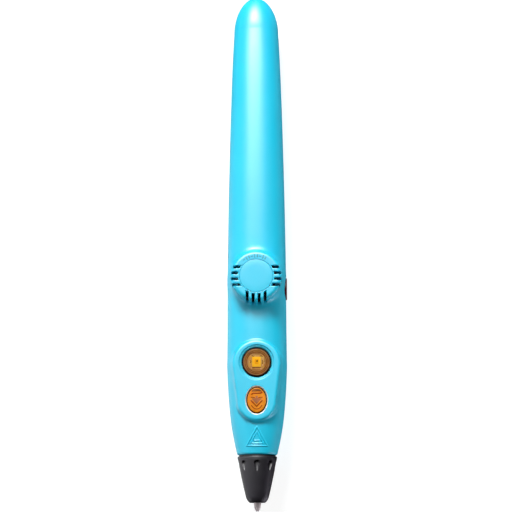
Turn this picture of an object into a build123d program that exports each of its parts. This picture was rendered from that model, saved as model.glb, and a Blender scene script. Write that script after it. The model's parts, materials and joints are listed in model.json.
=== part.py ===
from build123d import *
import math
import os

# Three d pen lying on its back: X across, Y along the pen (nozzle towards -Y), Z up through the buttons.
# All lengths in millimetres.

# ---- overall form ----
NOZZLE_END = -95.0
INLET_END = 95.0
BODY_FRONT = -75.1
AXIS_Z = 12.6
WALL = 1.7
SPLIT_Z = 10.8
LIP_INSET = 0.9
LIP_HEIGHT = 1.0
LIP_CLEARANCE = 0.06
RELIEF = 0.15
RING_POINTS = 20
# Cross-sections of the case: y, half width, lowest z, highest z, superellipse exponent.
STATIONS = [
    (BODY_FRONT, 7.15, 5.45, 19.75, 2.0),
    (-66.0, 9.02, 2.60, 20.70, 2.2),
    (-56.0, 10.15, 0.75, 21.35, 2.4),
    (-45.0, 10.75, -0.20, 21.75, 2.5),
    (-33.0, 10.72, -0.30, 21.80, 2.5),
    (-20.0, 10.67, -0.30, 21.80, 2.5),
    (-6.0, 10.60, -0.30, 21.78, 2.5),
    (8.0, 10.42, -0.30, 21.65, 2.5),
    (22.0, 10.16, -0.30, 21.38, 2.5),
    (36.0, 9.84, -0.30, 20.95, 2.5),
    (50.0, 9.48, -0.30, 20.40, 2.5),
    (60.0, 9.18, -0.28, 19.93, 2.5),
    (70.0, 8.80, -0.18, 19.35, 2.5),
    (82.0, 8.20, 0.12, 18.45, 2.4),
]
DOME_LENGTH = 13.0
DOME_TAPER = 0.4
DOME_ANGLES = (0, 20, 37, 51, 62, 70, 76)

# ---- control pad and buttons ----
PAD_TOP = 22.35
PAD_UPPER = (-43.0, 8.4)
PAD_LOWER = (-56.6, 6.7)
PAD_EDGE = 0.9
PAD_DRAFT = 14.0
MAIN_BUTTON_Y = -42.55
MAIN_HOLE_RADIUS = 5.25
MAIN_BUTTON_RADIUS = 4.86
MAIN_RECESS_RADIUS = 6.2
MAIN_RECESS_DEPTH = 0.3
SMALL_BUTTON_Y = -56.1
SMALL_HOLE_RADII = (3.68, 4.75)
SMALL_BUTTON_RADII = (3.3, 4.38)
BUTTON_TOP = 22.5
BUTTON_FLANGE = (19.4, 20.2)
BUTTON_POCKET_TOP = 20.4
FLANGE_EXTRA = 0.95
POCKET_EXTRA = 1.25
BUTTON_FACE = 1.2
ICON_DEPTH = 0.15
WINDOW_SIZE = 3.3
ARROW_HALF_SHAFT = 0.7
ARROW_HALF_HEAD = 1.7
ARROW_TAIL = 1.2
ARROW_POINT = -1.9
TRIANGLE_TIP = -65.2
TRIANGLE_BASE = -72.4
TRIANGLE_HALF = 3.96
TRIANGLE_RINGS = ((1.0, 0.86), (0.72, 0.6))

# ---- side button ----
SIDE_Y = -14.75
SIDE_Z = 11.4
SIDE_RADIUS = 4.1
SIDE_GAP = 0.22
SIDE_FACE_X = 10.95
SIDE_FLANGE = (7.9, 8.5)
SIDE_FLANGE_SIZE = (9.8, 4.6)

# ---- vent hump over the fan ----
HUMP_Y = -12.15
HUMP_RADIUS = 9.1
HUMP_TOP = 27.5
HUMP_SHOULDER = 1.5
HUMP_CAVITY_RADIUS = 8.2
HUMP_CAVITY_TOP = 26.0
HUMP_FLOOR = 19.3
HUMP_FLARE = 1.6
BADGE_RADIUS = 5.92
BADGE_RECESS_RADIUS = 6.02
BADGE_THICKNESS = 0.6
SLOT_WIDTH = 0.9
SLOT_INNER = 6.8
SLOT_BOTTOM = 22.0
SLOT_OFFSETS = (-3.2, -1.07, 1.07, 3.2)
SLOT_SIDES = (0, 180, 270)
FAN_RADIUS = 7.2
FAN_HEIGHT = 5.0

# ---- hot end ----
CONE_BACK = -75.6
CONE_FRONT = -91.97
CONE_PROFILE = [
    (-75.8, 7.1),
    (-76.8, 6.98),
    (-79.0, 6.55),
    (-83.0, 5.72),
    (-87.0, 4.84),
    (-89.6, 4.22),
    (-90.9, 3.75),
    (-91.75, 3.05),
    (CONE_FRONT, 2.8),
]
VENT_GROOVES = 8
GROOVE_Y = -77.7
GROOVE_LIFT = 7.0
GROOVE_LEAN = -80
GROOVE_RADIUS = 0.75
GROOVE_LENGTH = 3.8
INLET_BORE = 1.35
INLET_MOUTH = 1.6
INLET_END_CHAMFER = 94.8
INLET_FLANGE = 3.0
INLET_NECK = 1.9
INLET_SEAT = (91.6, 92.9)
NOZZLE_RADIUS = 1.28
NOZZLE_BORE = 0.35
CORE_RADIUS = 1.9
CORE_BORE = 1.05

# ---- feed and drive ----
TUBE_RADIUS = 1.2
TUBE_BORE = 0.95
MOTOR_Z = 7.2
MOTOR_RADIUS = 4.0
SHAFT_RADIUS = 1.0
FEED_ROOT_RADIUS = 4.25
FEED_PITCH = 0.9
FEED_SPAN = (-27.8, -20.2)
THREAD_START = -21.0
THREAD_LENGTH = 6.0
BLOCK_SPAN = (-30.9, -17.3)
BLOCK_SLOT = (-29.3, -18.9)
IDLER_RADIUS = 2.6
IDLER_Y = -24.0
IDLER_Z = 16.1
PIVOT_Y = -20.3
SPRING_Y = -27.95
SPRING_PITCH = 0.45
SPRING_LENGTH = 1.8
SPRING_RADIUS = 0.85
SPRING_WIRE = 0.15
SPRING_FOOT = 17.12

# ---- electronics and power ----
BOARD_BOTTOM = 15.3
BOARD_TOP = 16.5
BOARD_SPAN = (-62.0, -31.5)
SWITCH_PLACES = [(-3.9, MAIN_BUTTON_Y), (3.9, MAIN_BUTTON_Y), (0, SMALL_BUTTON_Y)]
SWITCH_TOP = BOARD_TOP + 1.5
PLUNGER_RADIUS = 0.7
PLUNGER_BOTTOM = SWITCH_TOP - 0.3
PLUNGER_TOP = SWITCH_TOP + 0.45
CELL_RADIUS = 4.6
CELL_SPAN = (14.0, 58.0)
CELL_Z = 6.35
USB_SIZE = (8.94, 7.3, 3.2)
USB_END = 90.2
USB_Z = 6.0
LEAD_RADIUS = 0.3
SCREWS = [(6.9, -52.0), (-6.9, -52.0), (5.5, 64.5), (-5.5, 64.5)]
BOSS_RADIUS = 1.9
BOSS_TOP = 15.0
MOTOR_RIBS = (-12.0, -2.0, 6.0)
CELL_RIBS = (20.0, 36.0, 52.0)
BOARD_RIBS = (-60.0, -46.0, -34.0)
CHARGE_RIBS = (70.0, 82.0)
SCREW_RADIUS = 0.8
SCREW_HEAD_RADIUS = 1.5
SCREW_HEAD = (2.6, 3.8)


def section_plane(y):
    """Upright plane across the pen at y, with its x along X and its y along Z."""
    return Plane(origin=(0, y, 0), x_dir=(1, 0, 0), z_dir=(0, -1, 0))


def ring_points(half_width, low, high, exponent):
    """Points round one superellipse section of the case."""
    middle = (low + high) / 2
    half_height = (high - low) / 2
    points = []
    for index in range(RING_POINTS):
        angle = math.radians(360 * index / RING_POINTS - 90)
        across = math.copysign(abs(math.cos(angle)) ** (2 / exponent), math.cos(angle))
        upward = math.copysign(abs(math.sin(angle)) ** (2 / exponent), math.sin(angle))
        points.append((half_width * across, middle + half_height * upward))
    return points


def dome_stations(inset):
    """Sections of the rounded rear end, closing towards the filament axis."""
    start, half_width, low, high, exponent = STATIONS[-1]
    rows = []
    for angle in DOME_ANGLES:
        shrink = math.cos(math.radians(angle))
        reach = (DOME_LENGTH - inset) * math.sin(math.radians(angle))
        rows.append(
            (
                start + reach,
                (half_width - inset) * shrink,
                AXIS_Z - (AXIS_Z - low - inset) * shrink,
                AXIS_Z + (high - AXIS_Z - inset) * shrink,
                exponent - DOME_TAPER * angle / DOME_ANGLES[-1],
            )
        )
    return rows


def loft_through(rows):
    """Smooth solid through a row of superellipse sections."""
    with BuildPart() as stretch:
        for y, half, low, high, n in rows:
            with BuildSketch(section_plane(y)):
                with BuildLine():
                    Spline(*ring_points(half, low, high, n), periodic=True)
                make_face()
        loft()
    return stretch.part


def case_form(inset):
    """Solid of the case outline, drawn in by inset all round."""
    rows = [(y, half - inset, low + inset, high - inset, n) for y, half, low, high, n in STATIONS]
    body = loft_through(rows)
    dome = loft_through(dome_stations(inset))
    with BuildPart() as form:
        add(body)
        add(dome)
    return form.part


def turned(outline, mode=Mode.ADD):
    """Body of revolution about the filament axis from (y, radius) points."""
    with BuildSketch(Plane(origin=(0, 0, AXIS_Z), x_dir=(0, 1, 0), z_dir=(1, 0, 0))) as profile:
        with BuildLine():
            Polyline(*outline, close=True)
        make_face()
    revolve(profile.sketch, axis=Axis((0, 0, AXIS_Z), (0, 1, 0)), mode=mode)


def rod(radius, start, end, z=AXIS_Z, x=0.0, mode=Mode.ADD):
    """Round bar along Y between two stations."""
    with BuildSketch(section_plane(end)) as profile:
        with Locations((x, z)):
            Circle(radius)
    extrude(profile.sketch, amount=end - start, mode=mode)


def block(x, y, z, mode=Mode.ADD):
    """Rectangular bar given by its (low, high) limits on each axis."""
    with Locations(((x[0] + x[1]) / 2, (y[0] + y[1]) / 2, (z[0] + z[1]) / 2)):
        Box(x[1] - x[0], y[1] - y[0], z[1] - z[0], mode=mode)


def post(x, y, radius, low, high, mode=Mode.ADD):
    """Round bar along Z."""
    with Locations((x, y, low)):
        Cylinder(radius, high - low, align=(Align.CENTER, Align.CENTER, Align.MIN), mode=mode)


def pin_across(y, z, radius, half_length, mode=Mode.ADD):
    """Round bar along X, centred on the pen."""
    with BuildSketch(Plane.YZ.offset(-half_length)) as profile:
        with Locations((y, z)):
            Circle(radius)
    extrude(profile.sketch, amount=2 * half_length, mode=mode)


def oval_prism(y, radii, extra, low, high, mode=Mode.ADD):
    """Upright oval bar on the pen's centre line."""
    with BuildSketch(Plane.XY.offset(low)) as profile:
        with Locations((0, y)):
            Ellipse(radii[0] + extra, radii[1] + extra)
    extrude(profile.sketch, amount=high - low, mode=mode)


def side_prism(extra, low, high, mode=Mode.ADD):
    """Round bar along X for the side button and its opening."""
    with BuildSketch(Plane.YZ.offset(low)) as profile:
        with Locations((SIDE_Y, SIDE_Z)):
            Circle(SIDE_RADIUS + extra)
    extrude(profile.sketch, amount=high - low, mode=mode)


def lead(points):
    """One insulated wire along a smooth curve."""
    with BuildLine() as path:
        Spline(*points)
    with BuildSketch(Plane(path.line @ 0, z_dir=path.line % 0)) as wire:
        Circle(LEAD_RADIUS)
    sweep(wire.sketch, path=path.line)


def triangle(scale):
    """Corners of the triangle mark in front of the pad, scaled about its middle."""
    corners = [(0, TRIANGLE_TIP), (TRIANGLE_HALF, TRIANGLE_BASE), (-TRIANGLE_HALF, TRIANGLE_BASE)]
    middle = (TRIANGLE_TIP + 2 * TRIANGLE_BASE) / 3
    return [(x * scale, middle + (y - middle) * scale) for x, y in corners]


def save(part, name):
    """Label the piece and write its file."""
    part.label = name
    export_step(part, f"parts/{name}.step")


os.makedirs("parts", exist_ok=True)
outer_form = case_form(0)
inner_form = case_form(WALL)
lip_form = case_form(LIP_INSET)
support_form = case_form(WALL / 2)
relief_form = case_form(-RELIEF)

# ---- front shell: upper half of the case with the pad and the vent hump ----
with BuildPart() as pad:
    with BuildSketch(Plane.XY.offset(PAD_TOP)):
        for centre_y, radius in (PAD_UPPER, PAD_LOWER):
            with Locations((0, centre_y)):
                Circle(radius)
        make_hull()
    extrude(amount=-(PAD_TOP - AXIS_Z), taper=-PAD_DRAFT)
    fillet(pad.faces().sort_by(Axis.Z)[-1].edges(), PAD_EDGE)

with BuildPart() as rebate:
    add(lip_form)
    block((-20, 20), (BODY_FRONT + 6, 89), (SPLIT_Z, SPLIT_Z + LIP_HEIGHT + LIP_CLEARANCE), Mode.INTERSECT)

with BuildPart() as triangle_mark:
    with BuildSketch(Plane.XY.offset(AXIS_Z)):
        for outer, inner in TRIANGLE_RINGS:
            with BuildLine():
                Polyline(*triangle(outer), close=True)
            make_face()
            with BuildLine():
                Polyline(*triangle(inner), close=True)
            make_face(mode=Mode.SUBTRACT)
    extrude(amount=HUMP_TOP - AXIS_Z)
    add(relief_form, mode=Mode.INTERSECT)

with BuildPart() as front_shell:
    add(outer_form)
    add(triangle_mark.part)
    post(0, HUMP_Y, HUMP_RADIUS, AXIS_Z, HUMP_TOP)
    foot = [
        edge
        for edge in front_shell.edges().filter_by(GeomType.BSPLINE)
        if abs(edge.bounding_box().size.X - 2 * HUMP_RADIUS) < 0.1
        and abs(edge.center().Y - HUMP_Y) < 1
    ]
    fillet(foot, HUMP_FLARE)
    crown = front_shell.faces().sort_by(Axis.Z)[-1].edges()
    fillet(crown, HUMP_SHOULDER)
    add(pad.part)
    add(inner_form, mode=Mode.SUBTRACT)
    split(bisect_by=Plane.XY.offset(SPLIT_Z), keep=Keep.TOP)
    add(rebate.part, mode=Mode.SUBTRACT)
    post(0, HUMP_Y, HUMP_CAVITY_RADIUS, HUMP_FLOOR, HUMP_CAVITY_TOP, Mode.SUBTRACT)
    post(0, HUMP_Y, BADGE_RECESS_RADIUS, HUMP_TOP - BADGE_THICKNESS, HUMP_TOP + 1, Mode.SUBTRACT)
    with BuildSketch(Plane.XY.offset(SLOT_BOTTOM)) as slots:
        for angle in SLOT_SIDES:
            for offset in SLOT_OFFSETS:
                with Locations(Location((0, HUMP_Y, 0), (0, 0, angle))):
                    with Locations((math.sqrt(SLOT_INNER**2 - offset**2), offset)):
                        Rectangle(4, SLOT_WIDTH, align=(Align.MIN, Align.CENTER))
    extrude(slots.sketch, amount=8, mode=Mode.SUBTRACT)
    # Main button: shallow dished recess, hole and flange pocket.
    post(0, MAIN_BUTTON_Y, MAIN_RECESS_RADIUS, PAD_TOP - MAIN_RECESS_DEPTH, PAD_TOP + 1, Mode.SUBTRACT)
    post(0, MAIN_BUTTON_Y, MAIN_HOLE_RADIUS, AXIS_Z, PAD_TOP + 1, Mode.SUBTRACT)
    post(0, MAIN_BUTTON_Y, MAIN_BUTTON_RADIUS + POCKET_EXTRA, 17, BUTTON_POCKET_TOP, Mode.SUBTRACT)
    oval_prism(SMALL_BUTTON_Y, SMALL_HOLE_RADII, 0, AXIS_Z, PAD_TOP + 1, Mode.SUBTRACT)
    oval_prism(SMALL_BUTTON_Y, SMALL_BUTTON_RADII, POCKET_EXTRA, 17, BUTTON_POCKET_TOP, Mode.SUBTRACT)
    side_prism(SIDE_GAP, SIDE_FLANGE[0], 13, Mode.SUBTRACT)
    for x, y in SCREWS:
        post(x, y, BOSS_RADIUS, SPLIT_Z, BOSS_TOP)
    for x, y in SCREWS:
        post(x, y, SCREW_RADIUS + 0.02, SPLIT_Z, BOSS_TOP - 0.4, Mode.SUBTRACT)
    rod(INLET_FLANGE + 0.02, INLET_SEAT[0] - 0.1, INLET_SEAT[1], mode=Mode.SUBTRACT)
    rod(INLET_NECK + 0.02, INLET_SEAT[1], INLET_END, mode=Mode.SUBTRACT)
save(front_shell.part, "front_shell")

# ---- back shell: lower half with the locating lip, screw wells and charging opening ----
with BuildPart() as lip:
    add(lip_form)
    add(inner_form, mode=Mode.SUBTRACT)
    block((-20, 20), (BODY_FRONT + 7, 88), (SPLIT_Z - 0.5, SPLIT_Z + LIP_HEIGHT), Mode.INTERSECT)

with BuildPart() as supports:
    for x, y in SCREWS:
        post(x, y, BOSS_RADIUS, 0.2, SPLIT_Z)
    for y in MOTOR_RIBS:
        block((-9, 9), (y - 0.5, y + 0.5), (0.5, MOTOR_Z))
    for y in CELL_RIBS:
        block((-9, 9), (y - 0.5, y + 0.5), (0.5, CELL_Z))
    for y in BOARD_RIBS:
        for x in (-4.8, 4.8):
            block((x - 0.6, x + 0.6), (y - 0.5, y + 0.5), (0.5, BOARD_BOTTOM))
    block((5.0, 7.3), (SIDE_Y - 2.4, SIDE_Y + 5.0), (0.5, SIDE_Z - 3.2))
    for y in CHARGE_RIBS:
        block((-4.2, 4.2), (y - 0.5, y + 0.5), (0.5, USB_Z - 1.0))
    add(support_form, mode=Mode.INTERSECT)
    rod(MOTOR_RADIUS + 0.02, -18, 13, z=MOTOR_Z, mode=Mode.SUBTRACT)
    rod(CELL_RADIUS + 0.02, *CELL_SPAN, z=CELL_Z, mode=Mode.SUBTRACT)

with BuildPart() as back_shell:
    add(outer_form)
    add(inner_form, mode=Mode.SUBTRACT)
    split(bisect_by=Plane.XY.offset(SPLIT_Z), keep=Keep.BOTTOM)
    block((-20, 20), (-100, 100), (-2, 0), Mode.SUBTRACT)
    add(lip.part)
    add(supports.part)
    for x, y in SCREWS:
        post(x, y, SCREW_HEAD_RADIUS + 0.15, -1, SCREW_HEAD[1], Mode.SUBTRACT)
        post(x, y, SCREW_RADIUS + 0.12, 0, SPLIT_Z + 0.1, Mode.SUBTRACT)
        post(x, y, BOSS_RADIUS + 0.1, SPLIT_Z, SPLIT_Z + 3, Mode.SUBTRACT)
    side_prism(SIDE_GAP, SIDE_FLANGE[0], 13, Mode.SUBTRACT)
    with BuildSketch(section_plane(INLET_END + 1)) as port:
        with Locations((0, USB_Z + USB_SIZE[2] / 2)):
            RectangleRounded(USB_SIZE[0] + 0.5, USB_SIZE[2] + 0.5, 1.6)
    extrude(port.sketch, amount=14, mode=Mode.SUBTRACT)
    rod(INLET_FLANGE + 0.02, INLET_SEAT[0] - 0.1, INLET_SEAT[1], mode=Mode.SUBTRACT)
    rod(INLET_NECK + 0.02, INLET_SEAT[1], INLET_END, mode=Mode.SUBTRACT)
save(back_shell.part, "back_shell")

# ---- vent badge: plain disc let into the top of the hump ----
with BuildPart() as vent_badge:
    post(0, HUMP_Y, BADGE_RADIUS, HUMP_TOP - BADGE_THICKNESS, HUMP_TOP)
    fillet(vent_badge.edges().group_by(Axis.Z)[-1], 0.2)
save(vent_badge.part, "vent_badge")

# ---- nozzle cone ----
with BuildPart() as groove_cutter:
    with Locations(Location((0, GROOVE_Y, AXIS_Z + GROOVE_LIFT), (GROOVE_LEAN, 0, 0))):
        Cone(0.12, GROOVE_RADIUS, GROOVE_LENGTH, align=(Align.CENTER, Align.CENTER, Align.MAX))
        Sphere(GROOVE_RADIUS)
grooves = [
    groove_cutter.part.rotate(Axis((0, 0, AXIS_Z), (0, 1, 0)), 360 * index / VENT_GROOVES)
    for index in range(VENT_GROOVES)
]

with BuildPart() as nozzle_cone:
    turned(
        [(CONE_BACK, 5.62), (CONE_BACK, 6.95)]
        + CONE_PROFILE
        + [(CONE_FRONT, 1.4), (-90.9, 1.4), (-90.4, 2.5), (-87.0, 3.6)]
        + [(-79.4, 5.3), (-78.9, 5.62)]
    )
    add(grooves, mode=Mode.SUBTRACT)
save(nozzle_cone.part, "nozzle_cone")

# ---- nozzle tip ----
with BuildPart() as nozzle_tip:
    turned(
        [(NOZZLE_END, NOZZLE_BORE), (NOZZLE_END, 0.5), (-94.6, 0.7), (-94.25, 0.98), (-93.9, 1.1)]
        + [(-92.4, NOZZLE_RADIUS), (-90.6, NOZZLE_RADIUS), (-90.3, 2.2), (-88.0, 2.2)]
        + [(-88.0, CORE_BORE), (-90.5, CORE_BORE), (-91.4, NOZZLE_BORE)]
    )
save(nozzle_tip.part, "nozzle_tip")

# ---- heater core tube ----
with BuildPart() as heater_core:
    rod(CORE_RADIUS, -88.0, -71.0)
    rod(2.3, -74.0, -73.0)
    rod(CORE_BORE, -89, -70, mode=Mode.SUBTRACT)
save(heater_core.part, "heater_core")

# ---- heater element: ribbed ceramic jacket on the core ----
with BuildPart() as heater_element:
    rod(2.35, -87.0, -79.5)
    for index in range(8):
        rod(2.6, -86.6 + index * 0.9, -86.2 + index * 0.9)
    rod(CORE_RADIUS + 0.02, -88, -79, mode=Mode.SUBTRACT)
save(heater_element.part, "heater_element")

# ---- insulating sleeve ----
with BuildPart() as insulating_sleeve:
    rod(3.15, -86.8, -79.0)
    rod(2.7, -88, -78, mode=Mode.SUBTRACT)
save(insulating_sleeve.part, "insulating_sleeve")

# ---- temperature sensor bead on the core ----
with BuildPart() as temperature_sensor:
    with Locations((0, -77.6, AXIS_Z + CORE_RADIUS + 0.46)):
        Sphere(0.45)
save(temperature_sensor.part, "temperature_sensor")

# ---- heat break collar between the case and the cone ----
with BuildPart() as heat_break_collar:
    turned(
        [(-78.4, 1.95), (-78.4, 5.52), (CONE_BACK, 5.52), (CONE_BACK, 6.6), (BODY_FRONT, 6.6)]
        + [(BODY_FRONT, 5.36), (-68.0, 5.36), (-68.0, 1.95)]
    )
    rod(4.6, -79, -76.4, mode=Mode.SUBTRACT)
    rod(2.35, -74.05, -67, mode=Mode.SUBTRACT)
    for x in (-3.4, 3.4):
        rod(0.7, -79, -67, z=AXIS_Z + 1.5, x=x, mode=Mode.SUBTRACT)
save(heat_break_collar.part, "heat_break_collar")

# ---- filament guide tubes ----
with BuildPart() as front_guide_tube:
    rod(TUBE_RADIUS, -70.95, -29.4)
    rod(TUBE_BORE, -72, -29, mode=Mode.SUBTRACT)
save(front_guide_tube.part, "front_guide_tube")

with BuildPart() as rear_guide_tube:
    rod(TUBE_RADIUS, -18.8, 91.6)
    rod(TUBE_BORE, -20, 92, mode=Mode.SUBTRACT)
save(rear_guide_tube.part, "rear_guide_tube")

# ---- filament inlet ring in the rear end ----
with BuildPart() as inlet_ring:
    turned(
        [(INLET_SEAT[0], INLET_BORE), (INLET_SEAT[0], INLET_FLANGE), (INLET_SEAT[1], INLET_FLANGE)]
        + [(INLET_SEAT[1], INLET_NECK), (INLET_END_CHAMFER - 0.5, INLET_NECK), (INLET_END_CHAMFER, 1.8)]
        + [(INLET_END, INLET_MOUTH), (INLET_END_CHAMFER, INLET_BORE)]
    )
save(inlet_ring.part, "inlet_ring")

# ---- main circuit board ----
with BuildPart() as main_board:
    with BuildSketch(Plane.XY.offset(BOARD_BOTTOM)):
        with Locations((0, (BOARD_SPAN[0] + BOARD_SPAN[1]) / 2)):
            RectangleRounded(11.0, BOARD_SPAN[1] - BOARD_SPAN[0], 1.2)
    extrude(amount=BOARD_TOP - BOARD_BOTTOM)
    for x in (-2.5, 0, 2.5):
        post(x, -33.2, 0.45, BOARD_BOTTOM - 1, BOARD_TOP + 1, Mode.SUBTRACT)
save(main_board.part, "main_board")

with BuildPart() as board_chips:
    block((-2.5, 2.5), (-52.0, -48.6), (BOARD_TOP, BOARD_TOP + 1.0))
    for x in (-4.4, 4.4):
        block((x - 0.5, x + 0.5), (-50.2, -48.6), (BOARD_TOP, BOARD_TOP + 0.5))
    block((-1.6, 1.6), (-36.2, -34.6), (BOARD_TOP, BOARD_TOP + 0.9))
save(board_chips.part, "board_chips")

with BuildPart() as status_led:
    block((-1.75, 1.75), (MAIN_BUTTON_Y - 1.4, MAIN_BUTTON_Y + 1.4), (BOARD_TOP, BOARD_TOP + 1.5))
    post(0, MAIN_BUTTON_Y, 1.1, BOARD_TOP + 1.3, BOARD_TOP + 2, Mode.SUBTRACT)
    post(0, MAIN_BUTTON_Y, 1.1, BOARD_TOP + 1.3, BOARD_TOP + 1.45)
save(status_led.part, "status_led")

# ---- tactile switches under the two top buttons ----
with BuildPart() as tact_switches:
    for x, y in SWITCH_PLACES:
        block((x - 1.3, x + 1.3), (y - 1.6, y + 1.6), (BOARD_TOP, SWITCH_TOP))
        post(x, y, 0.8, BOARD_TOP + 0.6, SWITCH_TOP + 0.1, Mode.SUBTRACT)
save(tact_switches.part, "tact_switches")

with BuildPart() as main_plungers:
    for x, y in SWITCH_PLACES[:2]:
        post(x, y, PLUNGER_RADIUS, PLUNGER_BOTTOM, PLUNGER_TOP)
save(main_plungers.part, "main_plungers")

with BuildPart() as small_plunger:
    post(0, SMALL_BUTTON_Y, PLUNGER_RADIUS, PLUNGER_BOTTOM, PLUNGER_TOP)
save(small_plunger.part, "small_plunger")

# ---- main button: translucent cap with a square window mark ----
with BuildPart() as main_button:
    post(0, MAIN_BUTTON_Y, MAIN_BUTTON_RADIUS, BUTTON_FLANGE[0], BUTTON_TOP)
    chamfer(main_button.edges().group_by(Axis.Z)[-1], 0.35)
    post(0, MAIN_BUTTON_Y, MAIN_BUTTON_RADIUS + FLANGE_EXTRA, *BUTTON_FLANGE)
    post(0, MAIN_BUTTON_Y, 3.0, 17, BUTTON_TOP - BUTTON_FACE, Mode.SUBTRACT)
    for x, y in SWITCH_PLACES[:2]:
        post(x, y, PLUNGER_RADIUS, PLUNGER_TOP, BUTTON_FLANGE[0] + 0.2)
    with Locations((0, MAIN_BUTTON_Y, BUTTON_TOP - ICON_DEPTH)):
        Box(WINDOW_SIZE, WINDOW_SIZE, 1, align=(Align.CENTER, Align.CENTER, Align.MIN), mode=Mode.SUBTRACT)
save(main_button.part, "main_button")

# ---- small button: oval cap with a sunk down arrow ----
with BuildPart() as small_button:
    oval_prism(SMALL_BUTTON_Y, SMALL_BUTTON_RADII, 0, BUTTON_FLANGE[0], BUTTON_TOP)
    chamfer(small_button.edges().group_by(Axis.Z)[-1], 0.3)
    oval_prism(SMALL_BUTTON_Y, SMALL_BUTTON_RADII, FLANGE_EXTRA, *BUTTON_FLANGE)
    oval_prism(SMALL_BUTTON_Y, SMALL_BUTTON_RADII, -1.2, 17, BUTTON_TOP - BUTTON_FACE, Mode.SUBTRACT)
    post(0, SMALL_BUTTON_Y, 0.8, PLUNGER_TOP, BUTTON_TOP - BUTTON_FACE)
    with BuildSketch(Plane.XY.offset(BUTTON_TOP - ICON_DEPTH)):
        with BuildLine():
            Polyline(
                (-ARROW_HALF_SHAFT, SMALL_BUTTON_Y + ARROW_TAIL),
                (ARROW_HALF_SHAFT, SMALL_BUTTON_Y + ARROW_TAIL),
                (ARROW_HALF_SHAFT, SMALL_BUTTON_Y),
                (ARROW_HALF_HEAD, SMALL_BUTTON_Y),
                (0, SMALL_BUTTON_Y + ARROW_POINT),
                (-ARROW_HALF_HEAD, SMALL_BUTTON_Y),
                (-ARROW_HALF_SHAFT, SMALL_BUTTON_Y),
                close=True,
            )
        make_face()
    extrude(amount=1, mode=Mode.SUBTRACT)
save(small_button.part, "small_button")

# ---- side button, its switch and board ----
with BuildPart() as side_button:
    side_prism(0, SIDE_FLANGE[1], SIDE_FACE_X)
    fillet(side_button.edges().group_by(Axis.X)[-1], 0.4)
    with BuildSketch(Plane.YZ.offset(SIDE_FLANGE[0])) as flange:
        with Locations((SIDE_Y, SIDE_Z)):
            SlotOverall(*SIDE_FLANGE_SIZE)
    extrude(flange.sketch, amount=SIDE_FLANGE[1] - SIDE_FLANGE[0])
    with BuildSketch(Plane.YZ.offset(7.55)) as nub:
        with Locations((SIDE_Y, SIDE_Z)):
            Circle(0.7)
    extrude(nub.sketch, amount=0.4)
save(side_button.part, "side_button")

with BuildPart() as side_switch:
    block((6.1, 7.1), (SIDE_Y - 2.2, SIDE_Y + 2.2), (SIDE_Z - 1.6, SIDE_Z + 1.6))
    with BuildSketch(Plane.YZ.offset(6.5)) as cup:
        with Locations((SIDE_Y, SIDE_Z)):
            Circle(0.75)
    extrude(cup.sketch, amount=1, mode=Mode.SUBTRACT)
save(side_switch.part, "side_switch")

with BuildPart() as side_plunger:
    with BuildSketch(Plane.YZ.offset(6.95)) as stub:
        with Locations((SIDE_Y, SIDE_Z)):
            Circle(0.65)
    extrude(stub.sketch, amount=0.6)
save(side_plunger.part, "side_plunger")

with BuildPart() as side_board:
    block((5.3, 6.1), (SIDE_Y - 2.2, SIDE_Y + 4.8), (SIDE_Z - 3.2, SIDE_Z + 3.2))
save(side_board.part, "side_board")

# ---- feed block: bracket round the drive screw and the filament ----
with BuildPart() as feed_block:
    add(case_form(WALL + 0.3))
    block((-6.0, 6.0), BLOCK_SPAN, (1, 20), Mode.INTERSECT)
    block((-5.0, 5.0), BLOCK_SLOT, (0, 12.3), Mode.SUBTRACT)
    block((-3.75, 3.75), BLOCK_SLOT, (12.2, 17.9), Mode.SUBTRACT)
    block((-3.75, 3.75), (-26.5, BLOCK_SLOT[1]), (17.8, 21), Mode.SUBTRACT)
    block((-9, 9), (BLOCK_SLOT[1], -17), (15.2, 21), Mode.SUBTRACT)
    post(0, SPRING_Y, 1.3, 17.5, 19.1, Mode.SUBTRACT)
    rod(TUBE_RADIUS + 0.02, -31, -17, mode=Mode.SUBTRACT)
    rod(SHAFT_RADIUS + 0.04, -31, -17, z=MOTOR_Z, mode=Mode.SUBTRACT)
    pin_across(PIVOT_Y, IDLER_Z, 0.62, 7, Mode.SUBTRACT)
save(feed_block.part, "feed_block")

# ---- feed screw on the output shaft ----
with BuildPart() as screw_thread:
    with BuildLine() as thread_path:
        start = (0, THREAD_START, MOTOR_Z)
        Helix(FEED_PITCH, THREAD_LENGTH, FEED_ROOT_RADIUS, center=start, direction=(0, -1, 0))
    thread_plane = Plane(thread_path.line @ 0, x_dir=(0, -1, 0), z_dir=thread_path.line % 0)
    with BuildSketch(thread_plane):
        with BuildLine():
            Polyline((-0.32, -0.1), (0.32, -0.1), (0.1, 0.37), (-0.1, 0.37), close=True)
        make_face()
    sweep(path=thread_path.line, is_frenet=True)

with BuildPart() as feed_screw:
    rod(FEED_ROOT_RADIUS, *FEED_SPAN, z=MOTOR_Z)
    add(screw_thread.part)
    rod(SHAFT_RADIUS + 0.01, -28, -20, z=MOTOR_Z, mode=Mode.SUBTRACT)
save(feed_screw.part, "feed_screw")

with BuildPart() as output_shaft:
    rod(SHAFT_RADIUS, -30.6, -16.9, z=MOTOR_Z)
    chamfer(output_shaft.edges().group_by(Axis.Y)[0], 0.2)
save(output_shaft.part, "output_shaft")

# ---- spring-loaded idler ----
with BuildPart() as idler_roller:
    pin_across(IDLER_Y, IDLER_Z, IDLER_RADIUS, 1.9)
    pin_across(IDLER_Y, IDLER_Z, 0.64, 3, Mode.SUBTRACT)
save(idler_roller.part, "idler_roller")

with BuildPart() as idler_pin:
    pin_across(IDLER_Y, IDLER_Z, 0.6, 3.3)
save(idler_pin.part, "idler_pin")

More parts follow.
